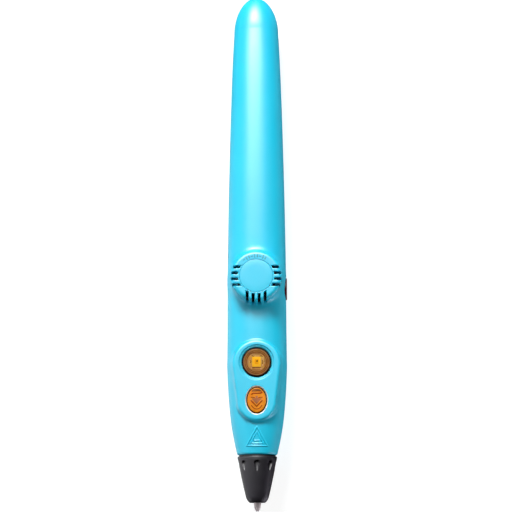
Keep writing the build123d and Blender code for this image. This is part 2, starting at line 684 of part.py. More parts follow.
with BuildPart() as pressure_arm:
    with BuildSketch(Plane.YZ.offset(-3.4)):
        with Locations((PIVOT_Y, IDLER_Z), (-28.2, IDLER_Z)):
            Circle(0.85)
        make_hull()
        with Locations((IDLER_Y, IDLER_Z)):
            Circle(1.3)
    extrude(amount=6.8)
    block((-2.2, 2.2), (-26.85, -19.2), (14, 19), Mode.SUBTRACT)
    pin_across(IDLER_Y, IDLER_Z, 0.61, 4, Mode.SUBTRACT)
    pin_across(PIVOT_Y, IDLER_Z, 0.65, 4, Mode.SUBTRACT)
save(pressure_arm.part, "pressure_arm")

with BuildPart() as pivot_pin:
    pin_across(PIVOT_Y, IDLER_Z, 0.6, 5.6)
save(pivot_pin.part, "pivot_pin")

with BuildPart() as arm_spring:
    with BuildLine() as spring_path:
        Helix(SPRING_PITCH, SPRING_LENGTH, SPRING_RADIUS, center=(0, SPRING_Y, SPRING_FOOT))
    with BuildSketch(Plane(spring_path.line @ 0, z_dir=spring_path.line % 0)):
        Circle(SPRING_WIRE)
    sweep(path=spring_path.line, is_frenet=True)
save(arm_spring.part, "arm_spring")

# ---- gearmotor ----
with BuildPart() as gearbox_housing:
    rod(MOTOR_RADIUS, BLOCK_SPAN[1], -5.0, z=MOTOR_Z)
    rod(SHAFT_RADIUS + 0.04, -18, -11, z=MOTOR_Z, mode=Mode.SUBTRACT)
save(gearbox_housing.part, "gearbox_housing")

with BuildPart() as motor_can:
    rod(MOTOR_RADIUS - 0.05, -5.0, 8.5, z=MOTOR_Z)
    block((-9, 9), (-4, 8), (-1, MOTOR_Z - 3.1), Mode.SUBTRACT)
save(motor_can.part, "motor_can")

with BuildPart() as motor_end_cap:
    rod(MOTOR_RADIUS - 0.15, 8.5, 10.0, z=MOTOR_Z)
    for x in (-1.8, 1.8):
        block((x - 0.2, x + 0.2), (10.0, 11.6), (MOTOR_Z - 0.8, MOTOR_Z + 0.8))
save(motor_end_cap.part, "motor_end_cap")

# ---- cooling fan inside the hump ----
with BuildPart() as fan_frame:
    post(0, HUMP_Y, FAN_RADIUS, HUMP_FLOOR, HUMP_FLOOR + FAN_HEIGHT)
    post(0, HUMP_Y, FAN_RADIUS - 0.7, HUMP_FLOOR - 1, HUMP_FLOOR + 6, Mode.SUBTRACT)
    for angle in (30, 150, 270):
        with Locations(Location((0, HUMP_Y, HUMP_FLOOR), (0, 0, angle))):
            Box(FAN_RADIUS - 0.3, 1.0, 0.7, align=(Align.MIN, Align.CENTER, Align.MIN))
    post(0, HUMP_Y, 2.6, HUMP_FLOOR, HUMP_FLOOR + 0.7)
    post(0, HUMP_Y, 0.5, HUMP_FLOOR + 0.7, HUMP_FLOOR + 4.2)
save(fan_frame.part, "fan_frame")

with BuildPart() as fan_rotor:
    post(0, HUMP_Y, 2.8, HUMP_FLOOR + 1.0, HUMP_FLOOR + 4.6)
    for index in range(7):
        with Locations(Location((0, HUMP_Y, HUMP_FLOOR + 2.8), (0, 0, 360 / 7 * index))):
            with Locations(Location((2.4, 0, 0), (35, 0, 0))):
                Box(3.6, 0.45, 3.0, align=(Align.MIN, Align.CENTER, Align.CENTER))
    post(0, HUMP_Y, 0.55, HUMP_FLOOR, HUMP_FLOOR + 4.25, Mode.SUBTRACT)
save(fan_rotor.part, "fan_rotor")

# ---- battery and charging ----
with BuildPart() as battery_cell:
    rod(CELL_RADIUS, *CELL_SPAN, z=CELL_Z)
    fillet(battery_cell.edges(), 0.5)
save(battery_cell.part, "battery_cell")

with BuildPart() as battery_tabs:
    rod(1.8, 58.0, 58.6, z=CELL_Z)
    block((-1.2, 1.2), (13.5, 14.0), (CELL_Z - 2.5, CELL_Z + 2.5))
save(battery_tabs.part, "battery_tabs")

with BuildPart() as charge_board:
    block((-4.2, 4.2), (68.0, 85.5), (USB_Z - 1.0, USB_Z))
save(charge_board.part, "charge_board")

with BuildPart() as usb_socket:
    with BuildSketch(section_plane(USB_END)):
        with Locations((0, USB_Z + USB_SIZE[2] / 2)):
            RectangleRounded(USB_SIZE[0], USB_SIZE[2], 1.3)
    extrude(amount=USB_SIZE[1])
    with BuildSketch(section_plane(USB_END + 1)):
        with Locations((0, USB_Z + USB_SIZE[2] / 2)):
            RectangleRounded(USB_SIZE[0] - 0.6, USB_SIZE[2] - 0.6, 1.1)
    extrude(amount=6.8, mode=Mode.SUBTRACT)
    block((-3.1, 3.1), (USB_END - 6.5, USB_END - 0.6), (USB_Z + 1.25, USB_Z + 1.95))
save(usb_socket.part, "usb_socket")

# ---- case screws ----
with BuildPart() as case_screws:
    for x, y in SCREWS:
        post(x, y, SCREW_HEAD_RADIUS, *SCREW_HEAD)
        post(x, y, SCREW_RADIUS, SCREW_HEAD[1], BOSS_TOP - 0.8)
        for half_x, half_y in ((0.9, 0.18), (0.18, 0.9)):
            cross = (SCREW_HEAD[0] - 1, SCREW_HEAD[0] + 0.6)
            block((x - half_x, x + half_x), (y - half_y, y + half_y), cross, Mode.SUBTRACT)
save(case_screws.part, "case_screws")

# ---- wiring ----
with BuildPart() as battery_leads:
    for side in (-1, 1):
        lead(
            [(side * 0.8, 12.8, 8.4), (side * 5.0, 12.7, 12.0), (side * 6.9, 6.0, 15.6)]
            + [(side * 6.95, -12.0, 16.4), (side * 6.95, -28.0, 16.4)]
            + [(side * 6.2, -31.6, 17.0), (side * 4.4, -33.6, 16.85)]
        )
save(battery_leads.part, "battery_leads")

with BuildPart() as motor_leads:
    for side in (-1, 1):
        lead(
            [(side * 1.8, 11.95, 7.2), (side * 5.4, 10.6, 9.6), (side * 7.2, 3.0, 13.4)]
            + [(side * 7.3, -12.0, 14.9), (side * 7.2, -29.0, 14.9)]
            + [(side * 6.8, -33.0, 15.4), (side * 6.3, -36.0, 16.5), (side * 4.9, -38.2, 16.85)]
        )
save(motor_leads.part, "motor_leads")

with BuildPart() as heater_leads:
    for side in (-1, 1):
        lead(
            [(side * 2.3, -78.4, 13.3), (side * 3.3, -77.0, 14.1), (side * 3.4, -75.0, 14.1)]
            + [(side * 3.4, -72.0, 14.1), (side * 3.4, -69.0, 14.1), (side * 3.4, -66.0, 14.15)]
            + [(side * 3.3, -63.0, 14.5), (side * 3.2, -60.5, 14.9)]
        )
save(heater_leads.part, "heater_leads")

with BuildPart() as charge_leads:
    for side in (-1, 1):
        lead([(side * 1.6, 67.6, 5.5), (side * 1.3, 63.5, 6.0), (side * 0.8, 59.0, 6.3)])
save(charge_leads.part, "charge_leads")
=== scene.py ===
import math

import bmesh
import bpy
import json
import numpy as np
from mathutils import Matrix, Vector


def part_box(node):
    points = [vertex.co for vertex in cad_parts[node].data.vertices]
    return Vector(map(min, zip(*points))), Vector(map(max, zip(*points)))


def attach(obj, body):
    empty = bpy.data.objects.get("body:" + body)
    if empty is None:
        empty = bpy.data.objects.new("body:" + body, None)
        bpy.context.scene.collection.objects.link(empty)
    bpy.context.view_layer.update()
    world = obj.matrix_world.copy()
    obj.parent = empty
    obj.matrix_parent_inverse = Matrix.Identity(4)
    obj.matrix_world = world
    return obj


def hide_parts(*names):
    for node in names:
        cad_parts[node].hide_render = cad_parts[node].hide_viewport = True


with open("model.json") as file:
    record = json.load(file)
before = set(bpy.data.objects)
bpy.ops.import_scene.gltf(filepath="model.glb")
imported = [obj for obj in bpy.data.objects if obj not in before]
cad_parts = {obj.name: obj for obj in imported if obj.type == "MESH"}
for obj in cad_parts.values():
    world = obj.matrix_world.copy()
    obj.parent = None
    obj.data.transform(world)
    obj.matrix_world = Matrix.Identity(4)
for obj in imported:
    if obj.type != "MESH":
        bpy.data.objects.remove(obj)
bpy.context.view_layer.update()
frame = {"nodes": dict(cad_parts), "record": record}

MM = 0.001

# ------------------------------------------------------------------ form of the case, in millimetres
AXIS_Z = 12.6
SPLIT_Z = 10.8
WALL = 1.7
# y, half width, lowest z, highest z, superellipse exponent
STATIONS = np.array(
    [
        (-75.1, 7.15, 5.45, 19.75, 2.0),
        (-66.0, 9.02, 2.60, 20.70, 2.2),
        (-56.0, 10.15, 0.75, 21.35, 2.4),
        (-45.0, 10.75, -0.20, 21.75, 2.5),
        (-33.0, 10.72, -0.30, 21.80, 2.5),
        (-20.0, 10.67, -0.30, 21.80, 2.5),
        (-6.0, 10.60, -0.30, 21.78, 2.5),
        (8.0, 10.42, -0.30, 21.65, 2.5),
        (22.0, 10.16, -0.30, 21.38, 2.5),
        (36.0, 9.84, -0.30, 20.95, 2.5),
        (50.0, 9.48, -0.30, 20.40, 2.5),
        (60.0, 9.18, -0.28, 19.93, 2.5),
        (70.0, 8.80, -0.18, 19.35, 2.5),
        (82.0, 8.20, 0.12, 18.45, 2.4),
    ]
)
DOME_Y = 82.0
DOME_LENGTH = 13.0
DOME_FLATTEN = 0.4
HUMP_RADIUS = 9.25
HUMP_BOTTOM = 4.0
HUMP_SHOULDER = 1.5
HUMP_FLARE = 2.6
MARK_HEIGHT = 0.06
FAN_ROOM_RADIUS = 8.7
FAN_ROOM = (19.3, 26.0)
BADGE_SEAT_GAP = 0.06
BADGE_SEAT_DEPTH = 0.6
SLOT_HALF = 0.5
SLOT_START = 6.5
SLOT_FOOT = 22.3
SLOT_END = 10.0
SLOT_OFFSETS = (1.07, 3.2)
SLOT_BAND = 4.6
PAD_TOP = 22.35
PAD_BOTTOM = 12.0
PAD_ENDS = ((-43.0, 8.4), (-56.6, 6.7))
PAD_DRAFT = math.tan(math.radians(14))
PAD_FLARE = 2.2
PAD_EDGE = 0.9
PAD_FOOT = 0.6
# tip, base and half width of the two outlines of the raised triangle, with their half line widths
TRIANGLES = ((-65.4, -72.2, 3.75, 0.2), (-67.2, -71.3, 2.2, 0.16))
TRIANGLE_BAR = ((-0.9, -70.3), (0.9, -70.3), 0.14)
TRIANGLE_HEIGHT = 0.2
TRIANGLE_BLUR = 0.24
TRIANGLE_BOTTOM = 14.0
FLANGE_EXTRA = 0.95
BUTTON_GAP = 0.4
BUTTON_FLANGE = (19.4, 20.2)
BUTTON_POCKET = (17.0, 20.4)
POCKET_EXTRA = 1.25
BEVEL_BOTTOM = 20.6
HOLE_BOTTOM = 15.0
MAIN_RECESS_RADIUS = 6.25
MAIN_RECESS_DEPTH = 0.32
MAIN_BEVEL = 0.5
MAIN_BEVEL_LEAN = 1.2
MAIN_BEVEL_SLOPE = 1.56
MAIN_BEVEL_DROP = 0.3
SMALL_BEVEL = 0.42
SMALL_BEVEL_SLOPE = 1.41
SIDE_RADIUS = 4.1
SIDE_GAP = 0.22
SIDE_INNER = 7.0
SIDE_FLANGE = (7.9, 8.5)
SCREWS = ((6.9, -52.0), (-6.9, -52.0), (5.5, 64.5), (-5.5, 64.5))
BOSS_RADIUS = 1.9
WELL_RADIUS = 1.65
WELL_TOP = 3.8
PORT_HALF = (4.72, 1.85)
PORT_CORNER = 1.6
PORT_Z = 7.6
PORT_Y = 82.0
# half-section of the hollow for the filament inlet: radius, and where it starts and ends along the pen
INLET_NECK = (1.92, 92.0)
INLET_SEAT = (3.02, 91.5, 92.9)


def place_of(node):
    """Middle and half size of a CAD node in millimetres."""
    low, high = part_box(node)
    middle = [(a + b) / 2 / MM for a, b in zip(low, high)]
    half = [(b - a) / 2 / MM for a, b in zip(low, high)]
    return middle, half


(_, HUMP_Y, BADGE_Z), (BADGE_RADIUS, _, BADGE_HALF) = place_of("vent_badge")
HUMP_TOP = BADGE_Z + BADGE_HALF
(_, MAIN_Y, main_z), (main_flange, _, main_half) = place_of("main_button")
MAIN_RADIUS = main_flange - FLANGE_EXTRA
BUTTON_TOP = main_z + main_half
(_, SMALL_Y, _), (small_flange_x, small_flange_y, _) = place_of("small_button")
SMALL_RADII = (small_flange_x - FLANGE_EXTRA, small_flange_y - FLANGE_EXTRA)
(side_x, SIDE_Y, SIDE_Z), (side_half, _, side_flange_half) = place_of("side_button")
SIDE_FACE = side_x + side_half


def cubic_spline(xs, ys):
    """Natural cubic spline through the points, as a function."""
    n = len(xs)
    h = np.diff(xs)
    system = np.zeros((n, n))
    right = np.zeros(n)
    system[0, 0] = system[-1, -1] = 1
    for i in range(1, n - 1):
        system[i, i - 1] = h[i - 1]
        system[i, i] = 2 * (h[i - 1] + h[i])
        system[i, i + 1] = h[i]
        right[i] = 3 * ((ys[i + 1] - ys[i]) / h[i] - (ys[i] - ys[i - 1]) / h[i - 1])
    c = np.linalg.solve(system, right)
    b = np.diff(ys) / h - h * (2 * c[:-1] + c[1:]) / 3
    d = np.diff(c) / (3 * h)

    def value(x):
        i = np.clip(np.searchsorted(xs, x) - 1, 0, n - 2)
        t = x - xs[i]
        return ys[i] + t * (b[i] + t * (c[i] + t * d[i]))

    return value


SECTION = [cubic_spline(STATIONS[:, 0], STATIONS[:, column]) for column in range(1, 5)]


def section(y):
    """Half width, lowest z, highest z and exponent of the case at y."""
    inside = np.clip(y, STATIONS[0, 0], DOME_Y)
    half, low, high, power = (curve(inside) for curve in SECTION)
    along = np.clip((y - DOME_Y) / DOME_LENGTH, 0, 0.998)
    shrink = np.sqrt(1 - along * along)
    half = half * shrink
    low = AXIS_Z - (AXIS_Z - low) * shrink
    high = AXIS_Z + (high - AXIS_Z) * shrink
    return half, low, high, power - DOME_FLATTEN * along


def body_distance(x, y, z):
    """Signed distance, near enough, from the plain case surface; negative inside."""
    half, low, high, power = section(y)
    middle = (low + high) / 2
    tall = (high - low) / 2
    u = np.abs(x) / half + 1e-9
    v = np.abs(z - middle) / tall + 1e-9
    total = u**power + v**power
    level = total ** (1 / power)
    slope = total ** (1 / power - 1) * np.hypot(u ** (power - 1) / half, v ** (power - 1) / tall)
    beyond = np.maximum(y - DOME_Y - DOME_LENGTH * 0.998, -99)
    return np.maximum((level - 1) / np.maximum(slope, 0.02), beyond)


def soft_min(a, b, k):
    """Union of two distances with a fillet of about k."""
    h = np.maximum(k - np.abs(a - b), 0) / k
    return np.minimum(a, b) - h * h * k / 4


def soft_max(a, b, k):
    """Overlap of two distances with a rounded edge of about k."""
    return -soft_min(-a, -b, k)


def rounded_disc(x, y, z, radius, low, high, edge):
    """Upright disc centred at the origin of x, y with rounded rims."""
    r = np.hypot(x, y)
    dr = r - (radius - edge)
    dz = np.abs(z - (low + high) / 2) - ((high - low) / 2 - edge)
    outside = np.hypot(np.maximum(dr, 0), np.maximum(dz, 0))
    return outside + np.minimum(np.maximum(dr, dz), 0) - edge


def pad_outline(x, y):
    """Distance from the outline of the control pad: two circles and their tangents."""
    (y1, r1), (y2, r2) = PAD_ENDS
    length = y1 - y2
    px = np.abs(x)
    py = y - y2
    b = (r2 - r1) / length
    a = math.sqrt(1 - b * b)
    k = -b * px + a * py
    along = a * px + b * py
    lower = np.hypot(px, py) - r2
    upper = np.hypot(px, py - length) - r1
    return np.where(k < 0, lower, np.where(k > a * length, upper, along - r2))


def oval(x, y, rx, ry):
    """Distance, near enough, from an oval outline."""
    q = np.sqrt((x / rx) ** 2 + (y / ry) ** 2) + 1e-9
    slope = np.hypot(x / rx**2, y / ry**2) / q
    return (q - 1) / np.maximum(slope, 0.02)


def segment(x, y, a, b):
    """Distance from a straight line segment."""
    ax, ay = a
    bx, by = b[0] - ax, b[1] - ay
    t = np.clip(((x - ax) * bx + (y - ay) * by) / (bx * bx + by * by), 0, 1)
    return np.hypot(x - ax - t * bx, y - ay - t * by)


def triangle_lines(x, y, tip, base, half):
    """Distance from the outline of a triangle that points to +Y."""
    corners = [(0, tip), (half, base), (-half, base)]
    sides = [segment(x, y, corners[i], corners[(i + 1) % 3]) for i in range(3)]
    return np.minimum(np.minimum(sides[0], sides[1]), sides[2])


def outer_distance(x, y, z):
    """Front of the case with the vent hump and the control pad blended in."""
    body = body_distance(x, y, z)
    hy = y - HUMP_Y
    hump = rounded_disc(x, hy, z, HUMP_RADIUS, HUMP_BOTTOM, HUMP_TOP - MARK_HEIGHT, HUMP_SHOULDER)
    shape = soft_min(body, hump, HUMP_FLARE)
    outline = pad_outline(x, y) - np.clip((PAD_TOP - z) * PAD_DRAFT, 0, PAD_FLARE)
    pad = soft_max(outline, z - PAD_TOP, PAD_EDGE)
    shape = soft_min(shape, np.maximum(pad, PAD_BOTTOM - z), PAD_FOOT)
    # Raised triangle mark in front of the pad.
    lines = segment(x, y, *TRIANGLE_BAR[:2]) - TRIANGLE_BAR[2]
    for tip, base, half, line_half in TRIANGLES:
        lines = np.minimum(lines, triangle_lines(x, y, tip, base, half) - line_half)
    height = np.clip(0.5 - lines / TRIANGLE_BLUR, 0, 1)
    height = height * height * (3 - 2 * height)
    return shape - np.where(z > TRIANGLE_BOTTOM, TRIANGLE_HEIGHT * height, 0)


def slot_distance(x, y, z):
    """Twelve vent slots, four towards each side and four towards the nozzle; negative inside."""
    hy = y - HUMP_Y
    r = np.hypot(x, hy)
    ends = np.maximum(np.maximum(SLOT_START - r, r - SLOT_END), SLOT_FOOT - z)
    sideways = np.abs(np.abs(hy) - SLOT_OFFSETS[0])
    sideways = np.minimum(sideways, np.abs(np.abs(hy) - SLOT_OFFSETS[1]))
    sideways = np.where(np.abs(x) > SLOT_BAND, sideways, 3)
    forward = np.abs(np.abs(x) - SLOT_OFFSETS[0])
    forward = np.minimum(forward, np.abs(np.abs(x) - SLOT_OFFSETS[1]))
    forward = np.where(hy < -SLOT_BAND, forward, 3)
    return np.maximum(np.minimum(sideways, forward) - SLOT_HALF, ends)


def front_distance(x, y, z):
    """Front shell: the outer form, hollowed, with its openings."""
    shape = outer_distance(x, y, z)
    hy = y - HUMP_Y
    from_hump = np.hypot(x, hy)
    from_main = np.hypot(x, y - MAIN_Y)
    hollow = body_distance(x, y, z) + WALL
    fan_room = np.maximum(from_hump - FAN_ROOM_RADIUS, np.maximum(FAN_ROOM[0] - z, z - FAN_ROOM[1]))
    hollow = np.minimum(hollow, fan_room)
    pocket_depth = np.maximum(BUTTON_POCKET[0] - z, z - BUTTON_POCKET[1])
    main_pocket = np.maximum(from_main - MAIN_RADIUS - POCKET_EXTRA, pocket_depth)
    pocket_radii = [radius + POCKET_EXTRA for radius in SMALL_RADII]
    small_pocket = np.maximum(oval(x, y - SMALL_Y, *pocket_radii), pocket_depth)
    hollow = np.minimum(hollow, np.minimum(main_pocket, small_pocket))
    shape = soft_max(shape, -hollow, 0.25)
    badge_seat = np.maximum(from_hump - BADGE_RADIUS - BADGE_SEAT_GAP, HUMP_TOP - BADGE_SEAT_DEPTH - z)
    shape = soft_max(shape, -badge_seat, 0.12)
    shape = soft_max(shape, -slot_distance(x, y, z), 0.28)
    recess = np.maximum(from_main - MAIN_RECESS_RADIUS, PAD_TOP - MAIN_RECESS_DEPTH - z)
    shape = soft_max(shape, -recess, 0.2)
    main_hole = from_main - MAIN_RADIUS - BUTTON_GAP
    lean = (z - PAD_TOP + MAIN_BEVEL_DROP) * MAIN_BEVEL_LEAN
    main_bevel = (main_hole - MAIN_BEVEL - lean) / MAIN_BEVEL_SLOPE
    shape = soft_max(shape, -np.maximum(main_bevel, BEVEL_BOTTOM - z), 0.15)
    shape = soft_max(shape, -np.maximum(main_hole, HOLE_BOTTOM - z), 0.25)
    hole_radii = [radius + BUTTON_GAP for radius in SMALL_RADII]
    small_hole = oval(x, y - SMALL_Y, *hole_radii)
    small_bevel = (small_hole - SMALL_BEVEL - (z - PAD_TOP)) / SMALL_BEVEL_SLOPE
    shape = soft_max(shape, -np.maximum(small_bevel, BEVEL_BOTTOM - z), 0.15)
    return soft_max(shape, -np.maximum(small_hole, HOLE_BOTTOM - z), 0.25)


def side_opening(x, y, z):
    """Distance from the round opening for the side button; negative inside."""
    return np.maximum(np.hypot(y - SIDE_Y, z - SIDE_Z) - SIDE_RADIUS - SIDE_GAP, SIDE_INNER - x)


def inlet_hollow(x, y, z):
    """Distance from the stepped hole for the filament inlet; negative inside."""
    from_axis = np.hypot(x, z - AXIS_Z)
    neck = np.maximum(from_axis - INLET_NECK[0], INLET_NECK[1] - y)
    seat = np.maximum(from_axis - INLET_SEAT[0], np.maximum(INLET_SEAT[1] - y, y - INLET_SEAT[2]))
    return np.minimum(neck, seat)


def front_shell_distance(x, y, z):
    """Upper half of the case."""
    shape = front_distance(x, y, z)
    shape = soft_max(shape, -side_opening(x, y, z), 0.5)
    shape = soft_max(shape, SPLIT_Z - z, 0.12)
    shape = soft_max(shape, STATIONS[0, 0] - y, 0.8)
    return soft_max(shape, -inlet_hollow(x, y, z), 0.15)


def back_shell_distance(x, y, z):
    """Lower half of the case, with its flat foot, screw wells and charging opening."""
    body = body_distance(x, y, z)
    solid = soft_max(body, -z, 0.5)
    shape = soft_max(solid, -(body + WALL), 0.2)
    for screw_x, screw_y in SCREWS:
        from_screw = np.hypot(x - screw_x, y - screw_y)
        shape = np.minimum(shape, np.maximum(from_screw - BOSS_RADIUS, solid))
        shape = soft_max(shape, -np.maximum(from_screw - WELL_RADIUS, z - WELL_TOP), 0.25)
    shape = soft_max(shape, -side_opening(x, y, z), 0.5)
    shape = soft_max(shape, z - SPLIT_Z, 0.12)
    shape = soft_max(shape, STATIONS[0, 0] - y, 0.5)
    port_x = np.maximum(np.abs(x) - (PORT_HALF[0] - PORT_CORNER), 0)
    port_z = np.maximum(np.abs(z - PORT_Z) - (PORT_HALF[1] - PORT_CORNER), 0)
    port = np.maximum(np.hypot(port_x, port_z) - PORT_CORNER, PORT_Y - y)
    shape = soft_max(shape, -port, 0.3)
    return soft_max(shape, -inlet_hollow(x, y, z), 0.15)


# ------------------------------------------------------------------ meshes
def ladder(*stops):
    """Grid lines: start, then (end, step) pairs."""
    values = [stops[0]]
    for end, step in stops[1:]:
        start = values[-1]
        count = max(1, round((end - start) / step))
        values += [start + (end - start) * i / count for i in range(1, count + 1)]
    return np.array(values)


def gradient(distance, points, step=0.02):
    """Slope of a distance at points."""
    slopes = []
    for axis in range(3):
        shift = np.zeros(3)
        shift[axis] = step
        ahead = distance(*(points + shift).T)
        behind = distance(*(points - shift).T)
        slopes.append((ahead - behind) / (2 * step))
    return np.stack(slopes, axis=1)


def surface_net(distance, xs, ys, zs, reach=0.25):
    """Vertices, quads and normals of the surface where distance is zero."""
    grid = np.empty((len(xs), len(ys), len(zs)), dtype=np.float32)
    gx, gz = np.meshgrid(xs, zs, indexing="ij")
    for j, y in enumerate(ys):
        grid[:, j, :] = distance(gx, np.full_like(gx, y), gz)
    inside = grid < 0
    shape = tuple(n - 1 for n in grid.shape)
    total = np.zeros(shape + (3,), dtype=np.float32)
    hits = np.zeros(shape, dtype=np.int16)
    lines = (xs, ys, zs)
    crossings = []
    for axis in range(3):
        low = [slice(None)] * 3
        high = [slice(None)] * 3
        low[axis] = slice(None, -1)
        high[axis] = slice(1, None)
        a, b = grid[tuple(low)], grid[tuple(high)]
        crossed = inside[tuple(low)] != inside[tuple(high)]
        index = np.argwhere(crossed)
        va, vb = a[crossed], b[crossed]
        t = va / (va - vb)
        point = np.stack([lines[d][index[:, d]] for d in range(3)], axis=1).astype(np.float32)
        span = lines[axis][index[:, axis] + 1] - lines[axis][index[:, axis]]
        point[:, axis] += t * span
        crossings.append((axis, index, va < 0))
        others = [d for d in range(3) if d != axis]
        for du in (0, -1):
            for dv in (0, -1):
                cell = index.copy()
                cell[:, others[0]] += du
                cell[:, others[1]] += dv
                good = np.all((cell >= 0) & (cell < np.array(shape)), axis=1)
                c = cell[good]
                np.add.at(total, (c[:, 0], c[:, 1], c[:, 2]), point[good])
                np.add.at(hits, (c[:, 0], c[:, 1], c[:, 2]), 1)
    used = np.argwhere(hits > 0)
    number = np.full(shape, -1, dtype=np.int64)
    number[hits > 0] = np.arange(len(used))
    points = total[hits > 0] / hits[hits > 0][:, None]
    quads = []
    for axis, index, outward in crossings:
        others = [d for d in range(3) if d != axis]
        ring = []
        for du, dv in ((-1, -1), (0, -1), (0, 0), (-1, 0)):
            cell = index.copy()
            cell[:, others[0]] += du
            cell[:, others[1]] += dv
            ring.append(cell)
        good = np.ones(len(index), dtype=bool)
        for cell in ring:
            good &= np.all((cell >= 0) & (cell < np.array(shape)), axis=1)
        quad = np.stack([number[tuple(cell[good].T)] for cell in ring], axis=1)
        flip = outward[good] if axis == 1 else ~outward[good]
        quad[flip] = quad[flip][:, ::-1]
        quads.append(quad)
    quads = np.concatenate(quads)
    points = points.astype(np.float64)
    start = points.copy()
    for _ in range(4):
        value = distance(*points.T)
        slope = gradient(distance, points)
        size = np.maximum((slope**2).sum(axis=1), 0.05)
        points = points - slope * (value / size)[:, None]
        points = start + np.clip(points - start, -reach, reach)
    slope = gradient(distance, points, 0.04)
    normals = slope / np.maximum(np.linalg.norm(slope, axis=1), 1e-6)[:, None]
    return points, quads, normals


def make_object(name, points, faces, material, normals=None, smooth=True):
    """A mesh object from points in millimetres and faces of one size."""
    mesh = bpy.data.meshes.new(name)
    points = np.asarray(points, dtype=np.float64) * MM
    if isinstance(faces, np.ndarray):
        count, sides = faces.shape
        mesh.vertices.add(len(points))
        mesh.vertices.foreach_set("co", points.astype(np.float32).ravel())
        mesh.loops.add(count * sides)
        mesh.loops.foreach_set("vertex_index", faces.astype(np.int32).ravel())
        mesh.polygons.add(count)
        mesh.polygons.foreach_set("loop_start", np.arange(0, count * sides, sides, dtype=np.int32))
        mesh.update(calc_edges=True)
    else:
        mesh.from_pydata([tuple(p) for p in points], [], faces)
    mesh.validate()
    mesh.polygons.foreach_set("use_smooth", [smooth] * len(mesh.polygons))
    if normals is not None:
        mesh.normals_split_custom_set_from_vertices([tuple(n) for n in normals])
    mesh.materials.append(material)
    obj = bpy.data.objects.new(name, mesh)
    bpy.context.scene.collection.objects.link(obj)
    return obj


def ring_faces(segments, count):
    """Quads between neighbouring sections of a closed ring, each section of count points."""
    faces = []
    for i in range(segments):
        j = (i + 1) % segments
        for k in range(count):
            m = (k + 1) % count
            faces.append((i * count + k, j * count + k, j * count + m, i * count + m))
    return faces


def lathe(name, outline, material, origin=(0, 0, 0), axis="y", segments=96, smooth_angle=40):
    """Closed body of revolution from (position, radius) points along an axis through origin."""
    along = "xyz".index(axis)
    across = [d for d in range(3) if d != along]
    points = []
    for i in range(segments):
        angle = 2 * math.pi * i / segments
        for position, radius in outline:
            point = list(origin)
            point[along] += position
            point[across[0]] += radius * math.cos(angle)
            point[across[1]] += radius * math.sin(angle)
            points.append(point)
    obj = make_object(name, points, ring_faces(segments, len(outline)), material)
    tidy_mesh(obj, smooth_angle)
    return obj


def arc(centre, radius, start, end, steps=6):
    """Points (position, radius) on a circular arc, angles in degrees."""
    points = []
    for i in range(steps + 1):
        angle = math.radians(start + (end - start) * i / steps)
        points.append((centre[0] + radius * math.cos(angle), centre[1] + radius * math.sin(angle)))
    return points


def tidy_mesh(obj, smooth_angle=40):
    """Merges poles, makes normals point outwards and marks edges sharper than smooth_angle."""
    mesh = bmesh.new()
    mesh.from_mesh(obj.data)
    bmesh.ops.remove_doubles(mesh, verts=mesh.verts, dist=1e-7)
    bmesh.ops.dissolve_degenerate(mesh, edges=mesh.edges, dist=1e-8)
    bmesh.ops.recalc_face_normals(mesh, faces=mesh.faces)
    limit = math.radians(smooth_angle)
    for edge in mesh.edges:
        if len(edge.link_faces) == 2:
            edge.smooth = edge.calc_face_angle(0) < limit
    mesh.to_mesh(obj.data)
    mesh.free()


def prism(name, outline, low, high, material, bevel=0.1, steps=3, axis="z", smooth_angle=50):
    """Closed prism with rounded top and bottom rims from a counter-clockwise outline."""
    ring = np.array(outline, dtype=float)
    ahead = np.roll(ring, -1, axis=0) - ring
    behind = ring - np.roll(ring, 1, axis=0)
    tangent = ahead / np.linalg.norm(ahead, axis=1)[:, None]
    tangent += behind / np.linalg.norm(behind, axis=1)[:, None]
    tangent /= np.maximum(np.linalg.norm(tangent, axis=1), 1e-9)[:, None]
    inward = np.stack([-tangent[:, 1], tangent[:, 0]], axis=1)
    layers = []
    for i in range(steps + 1):
        a = math.pi / 2 * i / steps
        layers.append((bevel * (1 - math.sin(a)), low + bevel * (1 - math.cos(a))))
    for i in range(steps + 1):
        a = math.pi / 2 * i / steps
        layers.append((bevel * (1 - math.cos(a)), high - bevel * (1 - math.sin(a))))
    points = []
    for inset, level in layers:
        for x, y in ring + inward * inset:
            points.append((level, x, y) if axis == "x" else (x, y, level))
    n = len(ring)
    faces = [tuple(reversed(range(n)))]
    for layer in range(len(layers) - 1):
        for i in range(n):
            j = (i + 1) % n
            faces.append((layer * n + i, layer * n + j, layer * n + n + j, layer * n + n + i))
    last = (len(layers) - 1) * n
    faces.append(tuple(range(last, last + n)))
    obj = make_object(name, points, faces, material)
    tidy_mesh(obj, smooth_angle)
    return obj


def ellipse_points(cx, cy, rx, ry, count=72):
    """Counter-clockwise points of an ellipse."""
    return [
        (cx + rx * math.cos(2 * math.pi * i / count), cy + ry * math.sin(2 * math.pi * i / count))
        for i in range(count)
    ]


def rounded_box_points(cx, cy, half_x, half_y, radius, count=8):
    """Counter-clockwise points of a rectangle with rounded corners."""
    points = []
    for sx, sy, start in ((1, 1, 0), (-1, 1, 90), (-1, -1, 180), (1, -1, 270)):
        for i in range(count + 1):
            a = math.radians(start + 90 * i / count)
            corner_x = cx + sx * (half_x - radius)
            corner_y = cy + sy * (half_y - radius)
            points.append((corner_x + radius * math.cos(a), corner_y + radius * math.sin(a)))
    return points


SHARPEST_MITRE = 0.35


